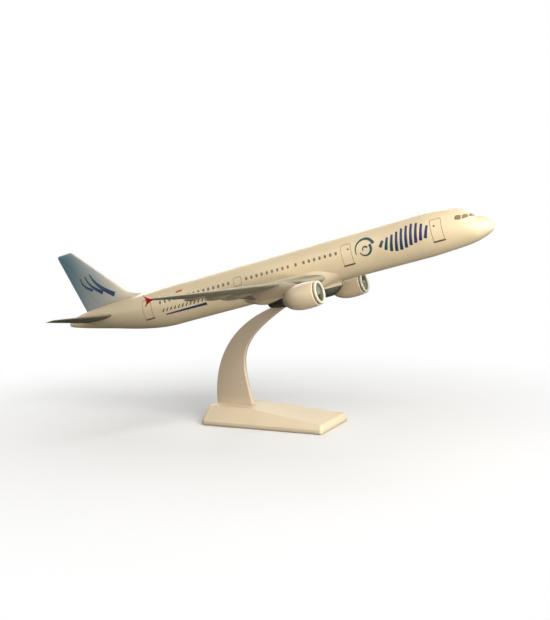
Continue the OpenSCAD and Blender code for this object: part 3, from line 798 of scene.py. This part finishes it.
# Radius at which a turned face ends on the axis
AXIS_R = 0.001


def cowl_radius(x):
    swell = 0.38 * ENGINE_LEN
    if x < swell:
        return COWL_R - (COWL_R - LIP_R - 0.15) * (1 - x / swell) ** 1.7
    return COWL_R * max(0, 1 - ((x - swell) / (ENGINE_LEN - swell)) ** 2.3) ** 0.52


def cowl():
    """Egg-shaped cowl from the inside of its front edge round to its closed rear."""
    edge, wall, steps = 0.25, 3, 60
    front_r = cowl_radius(GROOVE)
    front = [(THROAT_R, GROOVE + wall), (THROAT_R, GROOVE), (front_r - edge, GROOVE)]
    front += [(front_r - edge * (1 - sin(a)), GROOVE + edge * (1 - cos(a))) for a in (22, 45, 67, 90)]
    places = [lerp(GROOVE + edge, ENGINE_LEN, sin(90 * t)) for t in unit(steps)[1:-1]]
    return lathe(front + [(cowl_radius(x), x) for x in places] + [(AXIS_R, ENGINE_LEN)])


def ring():
    """Intake lip, with the spigot that holds it in the cowl."""
    nose_r, bevel, soft = (LIP_R - THROAT_R) / 2, 0.15, 0.7
    end = (THROAT_R, GROOVE + SPIGOT_LEN)
    lip = [(THROAT_R + nose_r * (1 - signed_pow(cos(6 * i), soft)), nose_r * (1 - sin(6 * i) ** soft))
           for i in range(31)]
    return lathe([end, *lip, (LIP_R, LIP_LEN - bevel), (LIP_R - bevel, LIP_LEN), (SPIGOT_R, LIP_LEN),
                  (SPIGOT_R, GROOVE + SPIGOT_LEN), end])


def groove_band():
    """Grey band in the groove behind the lip: a grey-green band of paint, also darker than the lip as
    painted shade of the groove.
    """
    inner, outer = SPIGOT_R - 0.03, SPIGOT_R + 0.03
    return lathe([(inner, LIP_LEN), (outer, LIP_LEN), (outer, GROOVE), (inner, GROOVE), (inner, LIP_LEN)])


def throat_shade_liner():
    """Dark grey sheet on the inner wall between the lip and the fan: painted shade inside the intake."""
    front, edge, rear = 0.62, 0.85, FAN_DEPTH + 0.4
    inner, outer, rear_r = THROAT_R - 0.04, THROAT_R + 0.12, THROAT_R + 0.2
    return lathe([(outer, front), (inner, edge), (inner, rear), (rear_r, rear), (outer, front)])


def fan_blade(angle):
    """Blade that leans more and more from hub to tip."""
    hub_r, rim, t, rise, gap, steps = 1.3, 0.12, 0.1, 0.5, 0.02, 8
    root_lean, tip_lean, bend = 0.3, 1.35, 0.55
    rings = []
    for share in unit(steps):
        r, lean = lerp(hub_r, THROAT_R - rim, share), lerp(root_lean, tip_lean, share)
        section = [(t, 0), (t + lean * bend, rise * 0.5), (t * 0.4 + lean, rise), (lean - t * 0.4, rise),
                   (lean * bend - t, rise * 0.5), (-t, 0)]
        blade_ring = []
        for around, forward in section:
            a = angle + math.degrees(around / r)
            x = ENGINE_X - FAN_DEPTH - gap - rise + forward
            blade_ring.append((x, ENGINE_Y + r * cos(a), ENGINE_Z + r * sin(a)))
        rings.append(blade_ring)
    return loft(rings)


def fan_disc():
    face, rear = FAN_DEPTH + 0.45, FAN_DEPTH + FAN_T
    disc = lathe([(AXIS_R, face), (THROAT_R, face), (THROAT_R, rear), (AXIS_R, rear)])
    return join([disc] + [fan_blade(360 * i / BLADES) for i in range(BLADES)])


def spinner():
    hub_r, tip, length, rear, steps = 1.5, FAN_DEPTH - 0.9, 1.7, FAN_DEPTH + 0.9, 14
    cone = [(hub_r * sin(90 * t) ** 0.9, tip + length * t ** 1.6) for t in unit(steps)[1:]]
    return lathe([(AXIS_R, tip), *cone, (hub_r, rear), (AXIS_R, rear)], 48)


def pylon():
    """Pylon from inside the cowl up to the wing."""
    low, high, steps = ENGINE_Z + 3, wing_height(ENGINE_Y) + 0.2, 24
    lead = wing_lead(ENGINE_Y)
    front, rear = ENGINE_X - 0.37 * ENGINE_LEN, lead - 0.5 * ROOT_CHORD
    rings = []
    for t in unit(steps):
        nose, z = lerp(front, lead + 0.5 * PYLON_T, t ** 2.2), lerp(low, high, t)
        chord = nose - lerp(rear + 0.3 * ENGINE_LEN, rear, t)
        rings.append([(nose - chord * x, ENGINE_Y - chord * y, z) for x, y in foil(PYLON_T / chord)])
    return loft(rings)


for side in SIDES:
    sided(side, "cowl_skin", cowl, COWL, "engine_cowl", "cowl_cream")
    sided(side, "intake_lip", ring, RING, "intake_ring", "ring_pale")
    sided(side, "groove_band", groove_band, GROOVE_BAND, slot="fan_grey")
    sided(side, "throat_shade_liner", throat_shade_liner, FAN, slot="fan_grey")
    sided(side, "fan_blades", fan_disc, FAN, "fan", "fan_grey")
    sided(side, "spinner", spinner, FAN_HUB, slot="fan_grey")
    sided(side, "pylon_skin", pylon, PYLON, "pylon", "cowl_cream", crease=50)


# Fin and tailplanes

# Top of the fillet at the fin's leading edge, and where the fin and the tailplanes start to round off
FILLET_TOP = CROWN_Z + 2.2 * FILLET_RISE
FIN_ROUND_Z = FIN_TOP - FIN_TIP_ROUND
STAB_ROUND_Y = STAB_HALF_SPAN - STAB_TIP_ROUND


def fin_lead(z):
    straight = FIN_TIP_X + (FIN_TOP - z) * FIN_LEAD_SLOPE
    return straight + FILLET_REACH * max(0, (FILLET_TOP - z) / (FILLET_TOP - CROWN_Z)) ** 2


def fin_trail(z):
    return max(FIN_TE_X - (z - FIN_ROOT_Z) * FIN_TE_SLOPE + 0.5, FIN_TIP_X - FIN_TIP_CHORD)


def fin_section(z):
    """Leading edge, chord and relative thickness of the fin, drawn in round its tip."""
    share = max(0, (z - FIN_ROUND_Z) / FIN_TIP_ROUND)
    inset = FIN_TIP_ROUND * (1 - math.sqrt(max(0, 1 - share ** 2)))
    lead, trail = fin_lead(z) - inset, fin_trail(z) + inset
    chord = lead - trail
    return lead, chord, FIN_THICK * min(1, 30 / chord) * math.sqrt(max(0.02, 1 - share ** 2))


def fin():
    fillet_steps, body_steps, tip_steps = 12, 20, 8
    heights = [FIN_ROOT_Z, CROWN_Z] + onward(CROWN_Z, FILLET_TOP, fillet_steps)
    heights += onward(FILLET_TOP, FIN_ROUND_Z, body_steps)
    heights += [FIN_ROUND_Z + FIN_TIP_ROUND * sin(90 * t) for t in unit(tip_steps)[1:]]
    rings = []
    for z in heights:
        lead, chord, t = fin_section(z)
        rings.append([(lead - chord * x, -chord * y, z) for x, y in foil(t)])
    return loft(rings)


def stab_section(y):
    """Leading edge, chord, height and thickness of the tailplane, rounded towards its tip."""
    share, out = max(0, (y - STAB_ROUND_Y) / STAB_TIP_ROUND), y - STAB_SIDE
    inset = 1 - math.sqrt(max(0, 1 - share ** 2))
    lead = STAB_LE_X - out * tan(STAB_SWEEP) - inset
    chord = lerp(STAB_ROOT_CHORD, STAB_TIP_CHORD, out / (STAB_HALF_SPAN - STAB_SIDE))
    chord -= STAB_TIP_ROUND * inset
    return lead, chord, STAB_Z + out * tan(STAB_DIHEDRAL), STAB_THICK * math.sqrt(max(0.03, 1 - share ** 2))


def tailplane():
    buried, side_y, span_steps, tip_steps = 2.2, 4, 24, 6
    places = [buried, side_y] + onward(side_y, STAB_ROUND_Y, span_steps)
    places += [STAB_ROUND_Y + STAB_TIP_ROUND * sin(90 * t) for t in unit(tip_steps)[1:]]
    rings = []
    for y in places:
        lead, chord, z, t = stab_section(y)
        rings.append([(lead - chord * p[0], y, z + chord * p[1]) for p in foil(t)])
    return loft(rings)


skin("fin_skin", *fin(), FIN, "fin", "fin_blue", crease=50)
for side in SIDES:
    sided(side, "tailplane_skin", tailplane, STAB, "tailplane", "wing_grey", crease=50)


# Stand

def bezier(a, pull_a, b, pull_b, t):
    """Curve drawn by two end points and two pulls, each a length and an angle."""
    p = a + pull_a[0] * Vector((cos(pull_a[1]), sin(pull_a[1])))
    q = b + pull_b[0] * Vector((cos(pull_b[1]), sin(pull_b[1])))
    return (1 - t) ** 3 * a + 3 * (1 - t) ** 2 * t * p + 3 * (1 - t) * t * t * q + t ** 3 * b


TOP_ANGLE = PITCH - SEAT_TILT
TOP_DIR = Vector((cos(TOP_ANGLE), sin(TOP_ANGLE)))
TOP_MID = Vector((SOCKET_X, SOCKET_Z)) + SEAT_GAP * Vector((sin(TOP_ANGLE), -cos(TOP_ANGLE)))


def arm_ring(t):
    """Cross-section of the arm between its rear and front edges, with rounded corners."""
    half_top, foot_front = ARM_TOP_W / 2 * TOP_DIR, ARM_FOOT_W - FOOT_REAR
    rear = bezier(TOP_MID - half_top, REAR_PULLS[0], Vector((-FOOT_REAR, BASE_H)), REAR_PULLS[1], t)
    front = bezier(TOP_MID + half_top, FRONT_PULLS[0], Vector((foot_front, BASE_H)), FRONT_PULLS[1], t)
    width = (front - rear).length
    direction, middle = (front - rear) / width, (rear + front) / 2
    section = rounded(-width / 2, width / 2, -ARM_T / 2, ARM_T / 2, ARM_EDGE, 6)
    return [(middle.x - u * direction.x, v, middle.y - u * direction.y) for u, v in section]


def tenon(gap, top, chamfer=0.0):
    """The arm's tenon, or with a gap the slot for it, up to a height above the base."""
    rear, front = TENON_SHOULDER - FOOT_REAR, ARM_FOOT_W - TENON_SHOULDER - FOOT_REAR
    return block((rear - gap, -TONGUE_T / 2 - gap, BASE_H - TENON_H - gap),
                 (front + gap, TONGUE_T / 2 + gap, BASE_H + top), chamfer)


def arm():
    """Arm with its tongue and tenon."""
    steps, chamfer = 90, 0.25
    plate = loft([arm_ring(t) for t in unit(steps)])
    points, tongue_faces = tongue(0, chamfer)
    top = [tuple((IN_FLIGHT @ (Vector(p) * MM)) / MM) for p in points]
    return join([plate, (top, tongue_faces), tenon(0, 0.5, chamfer)])


skin("arm_skin", *arm(), WHITE, "stand_arm", "arm_white", body="arm", crease=50)


def hull_of(points):
    """Convex hull of points, as points and faces."""
    bm = bmesh.new()
    for p in points:
        bm.verts.new(p)
    bmesh.ops.convex_hull(bm, input=bm.verts)
    loose = [v for v in bm.verts if not v.link_faces]
    bmesh.ops.delete(bm, geom=loose, context="VERTS")
    bmesh.ops.dissolve_limit(bm, angle_limit=math.radians(0.2), verts=bm.verts, edges=bm.edges)
    bm.verts.index_update()
    result = [tuple(v.co) for v in bm.verts], [[v.index for v in f.verts] for f in bm.faces]
    bm.free()
    return result


def ball(x, y, z, r, steps=12):
    """Points of a sphere."""
    return [(x + r * cos(15 * a) * sin(180 * b / steps), y + r * sin(15 * a) * sin(180 * b / steps),
             z + r * cos(180 * b / steps)) for a in range(24) for b in range(steps + 1)]


def base_shell():
    """Low wedge with a soft upper edge and an undercut foot."""
    corner, front_crest, rear_crest = 2, 1.5, 1.0
    half_l, half_w, deck = BASE_LEN / 2, BASE_W / 2, BASE_H - SEAT_GAP
    crests = [
        (half_l - 0.6 - front_crest, half_w - 1.1, FRONT_H, front_crest),
        (ARM_FOOT_W - FOOT_REAR + 2, 0.62 * half_w + 0.6, deck, front_crest),
        (-half_l + 0.2 + rear_crest, 0.54 * half_w + 0.6, deck, rear_crest),
    ]
    profile = [(0, 0.55), (0.3, 0.36), (0.7, 0.16), (1.2, 0.03), (1.7, 0), (SKIRT_H - 0.4, 0),
               (SKIRT_H - 0.1, 0.06), (SKIRT_H, 0.2)]
    points = []
    for sy in (-1, 1):
        for sx in (-1, 1):
            for z, inset in profile:
                points += [(sx * (half_l - corner) + (corner - inset) * cos(10 * i),
                            sy * (half_w - corner) + (corner - inset) * sin(10 * i), z) for i in range(36)]
        for x, y, z, r in crests:
            points += ball(x, sy * (y - r), z - r, r)
    return hull_of(points)


def plate_recess():
    """Rounded recess for the bottom plate."""
    corner, rim = 3, 3.2
    x, y = BASE_LEN / 2 - rim, BASE_W / 2 - rim
    return loft([[(px, py, z) for px, py in rounded(-x, x, -y, y, corner, 9)] for z in (-1, PLATE_T)])


def smooth_by_angle(degrees):
    """Node group that shades a CAD node smooth but for its sharper edges."""
    group = bpy.data.node_groups.new("smooth_by_angle", "GeometryNodeTree")
    for way in ("INPUT", "OUTPUT"):
        group.interface.new_socket("Geometry", in_out=way, socket_type="NodeSocketGeometry")
    source = add_node(group, "NodeGroupInput", {}).outputs[0]
    angle = add_node(group, "GeometryNodeInputMeshEdgeAngle", {}).outputs["Unsigned Angle"]
    sharper = add_node(group, "FunctionNodeCompare", {"A": angle, "B": math.radians(degrees)},
                       operation="GREATER_THAN")
    faces = add_node(group, "GeometryNodeSetShadeSmooth", {"Geometry": source}, domain="FACE")
    edges = add_node(group, "GeometryNodeSetShadeSmooth", {
        "Geometry": faces.outputs["Geometry"], "Selection": sharper.outputs["Result"],
        "Shade Smooth": False}, domain="EDGE")
    add_node(group, "NodeGroupOutput", {0: edges.outputs["Geometry"]})
    return group


def dress(node, material, group):
    """Finish of a CAD node that stays."""
    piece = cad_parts[node]
    piece.data.materials.clear()
    piece.data.materials.append(material)
    modifier = piece.modifiers.new("smooth_by_angle", "NODES")
    modifier.node_group = group


BASE_CREASE = 28
base = skin("base_skin", *base_shell(), IVORY, "stand_base", "base_ivory", body="base", crease=BASE_CREASE)
for cut in (tenon(LIFT_GAP, 1), plate_recess()):
    carve(base, *cut, crease=BASE_CREASE, body="base")
weigh = base.modifiers.new("weigh", "WEIGHTED_NORMAL")
weigh.keep_sharp = True

SMOOTH_35 = smooth_by_angle(35)
dress("base_bottom_plate", PLATE, SMOOTH_35)
dress("locating_pins", PIN, SMOOTH_35)


# Prints on the fuselage, each a thin closed patch on the surface

def metres(s, z):
    """Station and height in millimetres from full-size metres of a 1:150 model."""
    full_size = 1000 / 150
    return s * full_size, z * full_size


def oblong(s, z, w, h):
    """Corners of a rectangle about a place."""
    return [(s - w / 2, z - h / 2), (s + w / 2, z - h / 2), (s + w / 2, z + h / 2), (s - w / 2, z + h / 2)]


def thicken(top, faces, bottom, walls):
    """Closed sheet from its upper side, its lower side and the walls between them."""
    n = len(top)
    return top + bottom, faces + [[i + n for i in reversed(face)] for face in faces] + walls


def spot(corners, roundness, rings, spokes):
    """Rounded patch over four corners, each a full-size station and height."""
    a, b, c, d = [Vector(metres(*corner)) for corner in corners]

    def place(u, v):
        return (1 - u) * (1 - v) * a + u * (1 - v) * b + u * v * c + (1 - u) * v * d

    flat = [place(0.5, 0.5)]
    for ring_no in range(1, rings + 1):
        for i in range(spokes):
            cx, cy = cos(360 * i / spokes), sin(360 * i / spokes)
            size = (abs(cx) ** roundness + abs(cy) ** roundness) ** (-1 / roundness) * ring_no / rings
            flat.append(place(0.5 + 0.5 * size * cx, 0.5 + 0.5 * size * cy))
    faces = [[0, 1 + i, 1 + (i + 1) % spokes] for i in range(spokes)]
    n, rim = len(flat), len(flat) - spokes
    for start in range(1, rim, spokes):
        for i in range(spokes):
            j = (i + 1) % spokes
            faces.append([start + i, start + spokes + i, start + spokes + j, start + j])
    edges = [(rim + i, rim + (i + 1) % spokes) for i in range(spokes)]
    top, bottom = [[tuple(hull_point(p.x, p.y, lift)) for p in flat] for lift in (PRINT_LIFT, -PRINT_SINK)]
    return thicken(top, faces, bottom, [[a, a + n, b + n, b] for a, b in edges])


def stroke(path, width, surface, closed=False, step=0.7):
    """Thin ribbon along a flat path that surface puts in place; width may be one number or two."""
    widths = width if isinstance(width, (tuple, list)) else (width, width)
    path = [Vector(p) for p in path]
    if closed:
        path.append(path[0])
    dense = []
    for a, b in zip(path, path[1:]):
        count = max(1, math.ceil((b - a).length / step))
        dense += [a.lerp(b, i / count) for i in range(count)]
    if not closed:
        dense.append(path[-1])
    n = len(dense)
    upper, lower = [], []
    for i, p in enumerate(dense):
        before = dense[(i - 1) % n] if closed or i else p
        after = dense[(i + 1) % n] if closed or i < n - 1 else p
        one, two = (p - before), (after - p)
        one = one.normalized() if one.length else two.normalized()
        two = two.normalized() if two.length else one
        direction = (one + two).normalized()
        across = Vector((-direction.y, direction.x))
        half = lerp(widths[0], widths[1], i / max(1, n - 1)) / 2 / max(0.5, direction.dot(one))
        for k in (-1, 0, 1):
            q = p + across * half * k
            upper.append(tuple(surface(q.x, q.y, PRINT_LIFT)))
            lower.append(tuple(surface(q.x, q.y, -PRINT_SINK)))
    faces = []
    for i in range(n if closed else n - 1):
        a, b = 3 * i, 3 * ((i + 1) % n)
        faces += [[a + k, b + k, b + k + 1, a + k + 1] for k in (0, 1)]
    total, near, far = 3 * n, list(range(0, 3 * n, 3)), list(range(3 * n - 1, 0, -3))
    rims = [near, far] if closed else [near + [total - 2] + far + [1]]
    edges = [edge for rim in rims for edge in zip(rim, rim[1:] + rim[:1])]
    return thicken(upper, faces, lower, [[b, a, a + total, b + total] for a, b in edges])


DOORS = [
    {"front": 3.98, "rear": 4.92, "low": -0.82, "high": 1.05, "dot": (4.6, 0.5), "sill": True},
    {"front": 12.3, "rear": 13.25, "low": -0.8, "high": 1.0, "dot": (12.57, 0.54), "sill": True},
    {"front": 23.45, "rear": 24.25, "low": 0.0, "high": 0.8, "dot": None, "sill": False},
    {"front": 33.6, "rear": 34.62, "low": -0.8, "high": 1.05, "dot": (34.2, 0.5), "sill": True},
]
# Runs of windows: station of the first, how many, distance between them
WINDOW_RUNS = [(13.76, 7, 0.532), (17.76, 1, 0.54), (18.56, 9, 0.541), (24.83, 15, 0.547)]


def cabin_windows():
    height, w, h = 0.455, 0.235, 0.32
    return join([spot(oblong(start + pitch * i, height, w, h), 2.6, 2, 16)
                 for start, count, pitch in WINDOW_RUNS for i in range(count)])


def grown(corners, share_s, share_z):
    """Corners moved away from their middle, by one share along and another up."""
    middle = sum((Vector(c) for c in corners), Vector((0, 0))) / len(corners)
    return [(middle.x + (s - middle.x) * share_s, middle.y + (z - middle.y) * share_z) for s, z in corners]


def cockpit_windows():
    panes = [
        [(2.81, 0.59), (2.36, 0.49), (2.31, 0.78), (2.72, 0.85)],
        [(2.23, 0.49), (1.76, 0.54), (1.88, 0.77), (2.17, 0.77)],
        [(1.70, 0.55), (1.29, 0.52), (1.36, 0.69), (1.68, 0.76)],
    ]
    return join([spot(grown(pane, 1.16, 1.3), 6, 4, 32) for pane in panes])


def door_lines():
    """Outlines of the doors, with rounded corners."""
    radius, width = 0.12, 0.34
    outlines = [rounded(door["front"], door["rear"], door["low"], door["high"], radius, 3) for door in DOORS]
    paths = [[metres(*p) for p in outline] for outline in outlines]
    return join([stroke(path, width, hull_point, closed=True) for path in paths])


def door_sills():
    """Dark bar under each door and the dot of its handle."""
    dot, bar, drop = 0.17, 0.14, 0.1
    parts = []
    for door in DOORS:
        if door["dot"]:
            parts.append(spot(oblong(*door["dot"], dot, dot), 2, 2, 20))
        if door["sill"]:
            front, rear, low = door["front"] - 0.08, door["rear"] + 0.06, door["low"] - drop
            parts.append(spot(oblong((front + rear) / 2, low + bar / 2, rear - front, bar), 5, 3, 40))
    return join(parts)


def bar_row():
    """Slanted bars that swell and fade like a wave."""
    count, lean = 10, 0.17
    parts = []
    for t in unit(count - 1):
        s = lerp(5.35, 9.45, t)
        middle = 0.2 + 0.14 * sin(360 * t)
        half = 0.26 + 0.66 * sin(180 * min(1, 0.1 + 0.9 * t)) ** 0.8
        path = [metres(s + lean, middle - half), metres(s - lean, middle + half)]
        parts.append(stroke(path, (1.9, 1.4), hull_point))
    return join(parts)


def wave_arcs():
    """Nested arcs behind the bars, each a radius, two angles and two widths."""
    s, z, count = 11.0, 0.15, 30
    parts = []
    for r, start, end, widths in (
            (0.9, 20, 200, (1.9, 0.5)), (0.55, 200, 395, (0.6, 1.7)), (0.22, 20, 210, (1.3, 0.5))):
        turns = [lerp(start, end, t) for t in unit(count)]
        path = [metres(s - r * cos(a), z + r * sin(a)) for a in turns]
        parts.append(stroke(path, widths, hull_point, step=0.5))
    return join(parts)


def aft_dashes():
    """Row of slanted dashes."""
    count, lean = 13, 0.14
    dashes = []
    for t in unit(count - 1):
        s = lerp(27.0, 32.3, t)
        dashes.append(stroke([metres(s + lean, -0.5), metres(s - lean, -0.22)], (0.8, 0.6), hull_point))
    return join(dashes)


def aft_stripe():
    """Tapered stripe below the dashes."""
    return stroke([metres(27.6, -0.8), metres(32.2, -0.8)], (1.6, 0.8), hull_point)


def orange_mark():
    return spot([(29.97, 0.93), (30.7, 0.93), (30.6, 1.12), (29.87, 1.12)], 8, 2, 24)


def fin_surface(s, z, lift):
    """Port surface of the fin at a distance behind the aircraft's origin and a height."""
    lead, chord, t = fin_section(z)
    share = max(0.004, min(0.996, (lead + s) / chord))
    return Vector((-s, chord * (foil_half(share, t) + FOIL_EDGE) + lift, z))


def fin_path(low, high, steps, share, bend=0.0):
    """Path up the fin at a share of its chord, which may swing aft on the way."""
    path = []
    for t in unit(steps):
        z = lerp(low, high, t)
        lead, chord, _ = fin_section(z)
        path.append((chord * (share + bend * sin(150 * t)) - lead, z))
    return path


def fin_bands():
    """Three curved bands that sweep up and back over the lower fin."""
    bands = []
    for k in range(3):
        path = fin_path(17 + 3.2 * k, 34.5 - 0.6 * k, 24, 0.24 + 0.17 * k, 0.12)
        bands.append(stroke(path, (3.4 - 0.7 * k, 0.9), fin_surface))
    return join(bands)


PRINTS = [
    ("cabin_windows", cabin_windows, GLAZING),
    ("cockpit_windows", cockpit_windows, COCKPIT),
    ("door_lines", door_lines, SEAM),
    ("door_sills", door_sills, SILL),
    ("wave_bars", bar_row, BARS),
    ("wave_arcs", wave_arcs, BARS),
    ("aft_dashes", aft_dashes, DASHES),
    ("aft_stripe", aft_stripe, STRIPES),
    ("orange_mark", orange_mark, ORANGE),
    ("fin_bands", fin_bands, FIN_BANDS),
]


# Engraved-looking lines of the flaps, ailerons, rudder and elevators

def face_lines(runs, stretch, face):
    """Ribbons on both faces of a wing through places along the span and shares of the chord.

    The whole chord counts as stretch millimetres while a ribbon is drawn.
    """
    end = 0.002

    def ribbon(run, upper):
        def surface(y, along_chord, lift):
            x, z = face(y, max(end, min(1 - end, along_chord / stretch)), upper)
            return Vector((x, y, z + (lift if upper else -lift)))
        return stroke([(y, share * stretch) for y, share in run], 0.2, surface, step=1.2)

    return join([ribbon(run, upper) for run in runs for upper in (True, False)])


def wing_face(y, share, upper):
    x, _, z = on_wing(y, foil_point(share, wing_thick(y), WING_CAMBER, upper))
    return x, z


def stab_face(y, share, upper):
    lead, chord, z, t = stab_section(y)
    x, up = foil_point(share, t, 0, upper)
    return lead - chord * x, z + chord * up


def wing_lines():
    runs = [
        [(15, 0.72), (40, 0.68), (88, 0.72)],
        [(40, 0.68), (40.4, 0.985)],
        [(88, 0.72), (88.4, 0.98)],
        [(89, 0.72), (108, 0.72)],
        [(108, 0.72), (108.3, 0.98)],
        [(24, 0.12), (34, 0.11)],
        [(43, 0.13), (109, 0.16)],
    ]
    return face_lines(runs, 30, wing_face)


def stab_lines():
    return face_lines([[(7.5, 0.7), (38.5, 0.68)], [(38.5, 0.68), (38.7, 0.97)]], 18, stab_face)


def fin_lines():
    """Rudder line up the fin and the short line at its upper end."""
    low, high = 14.5, 47.5
    path = fin_path(low, high, 19, 0.7)
    end = [path[-1], (-fin_trail(high) - 0.4, high)]
    return join([stroke(line, 0.22, fin_surface) for line in (path, end)])


LINES = [
    ("wing_lines", wing_lines, PANEL_LINE),
    ("fin_lines", fin_lines, PANEL_LINE),
    ("elevator_lines", stab_lines, PANEL_LINE),
]
for rows in (PRINTS, LINES):
    for side in SIDES:
        for row in rows:
            sided(side, *row, crease=60)


# Floor, light and camera

# Share of the light that the floor throws back at the object
FLOOR_BOUNCE = 0.1
# Strength of the world's light on the object
WORLD_LIGHT = 0.15


def add_floor():
    """Pale paper that keeps the shadow near the stand and runs into the white background."""
    size, drop, near, far = 3.0, 0.0003, 0.06, 0.32
    mesh = bpy.data.meshes.new("floor")
    corners = [(-size, -size, 0), (size, -size, 0), (size, size, 0), (-size, size, 0)]
    mesh.from_pydata(corners, [], [[0, 1, 2, 3]])
    material, tree, shader = new_material("floor_paper")
    by_camera = tree.nodes.new("ShaderNodeLightPath").outputs["Is Camera Ray"]
    paper = mottle(tree, (0.88, 0.88, 0.87, 1), (0.91, 0.91, 0.90, 1), 3, 2)
    dark = (FLOOR_BOUNCE, FLOOR_BOUNCE, FLOOR_BOUNCE, 1)
    feed(tree, shader, {
        "Base Color": add_mix(tree, by_camera, dark, paper), "Roughness": 0.9, "Specular IOR Level": 0.1})
    away = add_node(tree, "ShaderNodeVectorMath", {0: object_place(tree)}, operation="LENGTH")
    fade = add_range(tree, away.outputs["Value"], near, far, 0.1, 1)
    seen = add_math(tree, "MULTIPLY", fade, by_camera)
    white = add_node(tree, "ShaderNodeEmission", {"Color": (1, 1, 1, 1), "Strength": 1})
    blend = add_node(tree, "ShaderNodeMixShader", {0: seen, 1: shader.outputs[0], 2: white.outputs[0]})
    feed(tree, tree.nodes["Material Output"], {"Surface": blend.outputs[0]})
    mesh.materials.append(material)
    floor = add_object("floor", mesh)
    floor.location.z = -drop


def add_lamp(name, place, aim, size, power, rgb=(1, 1, 1)):
    data = bpy.data.lights.new(name, "AREA")
    data.shape = "RECTANGLE"
    data.size, data.size_y = size
    data.energy = power
    data.color = rgb
    lamp = add_object(name, data)
    lamp.location = place
    lamp.rotation_euler = (Vector(aim) - Vector(place)).to_track_quat("-Z", "Y").to_euler()


def add_world():
    """World that lights the object dimly and is white to the camera and in reflections."""
    world = bpy.data.worlds.new("studio")
    world.use_nodes = True
    tree = world.node_tree
    rays = tree.nodes.new("ShaderNodeLightPath").outputs
    seen = add_math(tree, "MAXIMUM", rays["Is Camera Ray"], rays["Is Glossy Ray"])
    seen = add_math(tree, "MAXIMUM", seen, rays["Is Transmission Ray"])
    strength = add_range(tree, seen, 0, 1, WORLD_LIGHT, 1, kind="LINEAR")
    feed(tree, tree.nodes["Background"], {"Color": (1, 1, 1, 1), "Strength": strength})
    bpy.context.scene.world = world


def add_camera():
    target = Vector((0.0012, 0, 0.07136))
    distance = 0.634587
    azimuth, elevation, roll = 24.516, 5.915, -0.936
    back = Vector((sin(azimuth) * cos(elevation), -cos(azimuth) * cos(elevation), sin(elevation)))
    right = (-back).cross(Vector((0, 0, 1))).normalized()
    up = right.cross(-back)
    turned_right = cos(roll) * right + sin(roll) * up
    turned_up = -sin(roll) * right + cos(roll) * up
    data = bpy.data.cameras.new("camera")
    data.lens = 59.26
    data.sensor_width = 36
    data.clip_start = 0.01
    camera = add_object("camera", data)
    camera.matrix_world = (
        Matrix.Translation(target + back * distance)
        @ Matrix((turned_right, turned_up, back)).transposed().to_4x4()
    )
    bpy.context.scene.camera = camera


add_floor()
add_lamp("key", (0.86, -0.42, 0.74), (0, 0, 0.09), (0.8, 0.6), 13.5, (1.0, 0.98, 0.95))
add_lamp("fill", (-0.7, -0.9, 0.6), (0, 0, 0.08), (1.0, 0.8), 1.7, (1.0, 0.98, 0.96))
add_lamp("side", (0.7, -0.8, 0.38), (0.02, 0, 0.09), (0.5, 0.4), 1.8, (1.0, 0.98, 0.95))
add_lamp("low", (0.6, -0.3, 0.05), (0.05, 0, 0.08), (0.2, 0.08), 2.4, (1.0, 0.98, 0.95))
add_lamp("rim", (-0.55, 0.75, 0.6), (0, 0, 0.1), (0.8, 0.6), 4.0)
add_world()
add_camera()
bpy.context.scene.view_settings.view_transform = "Standard"
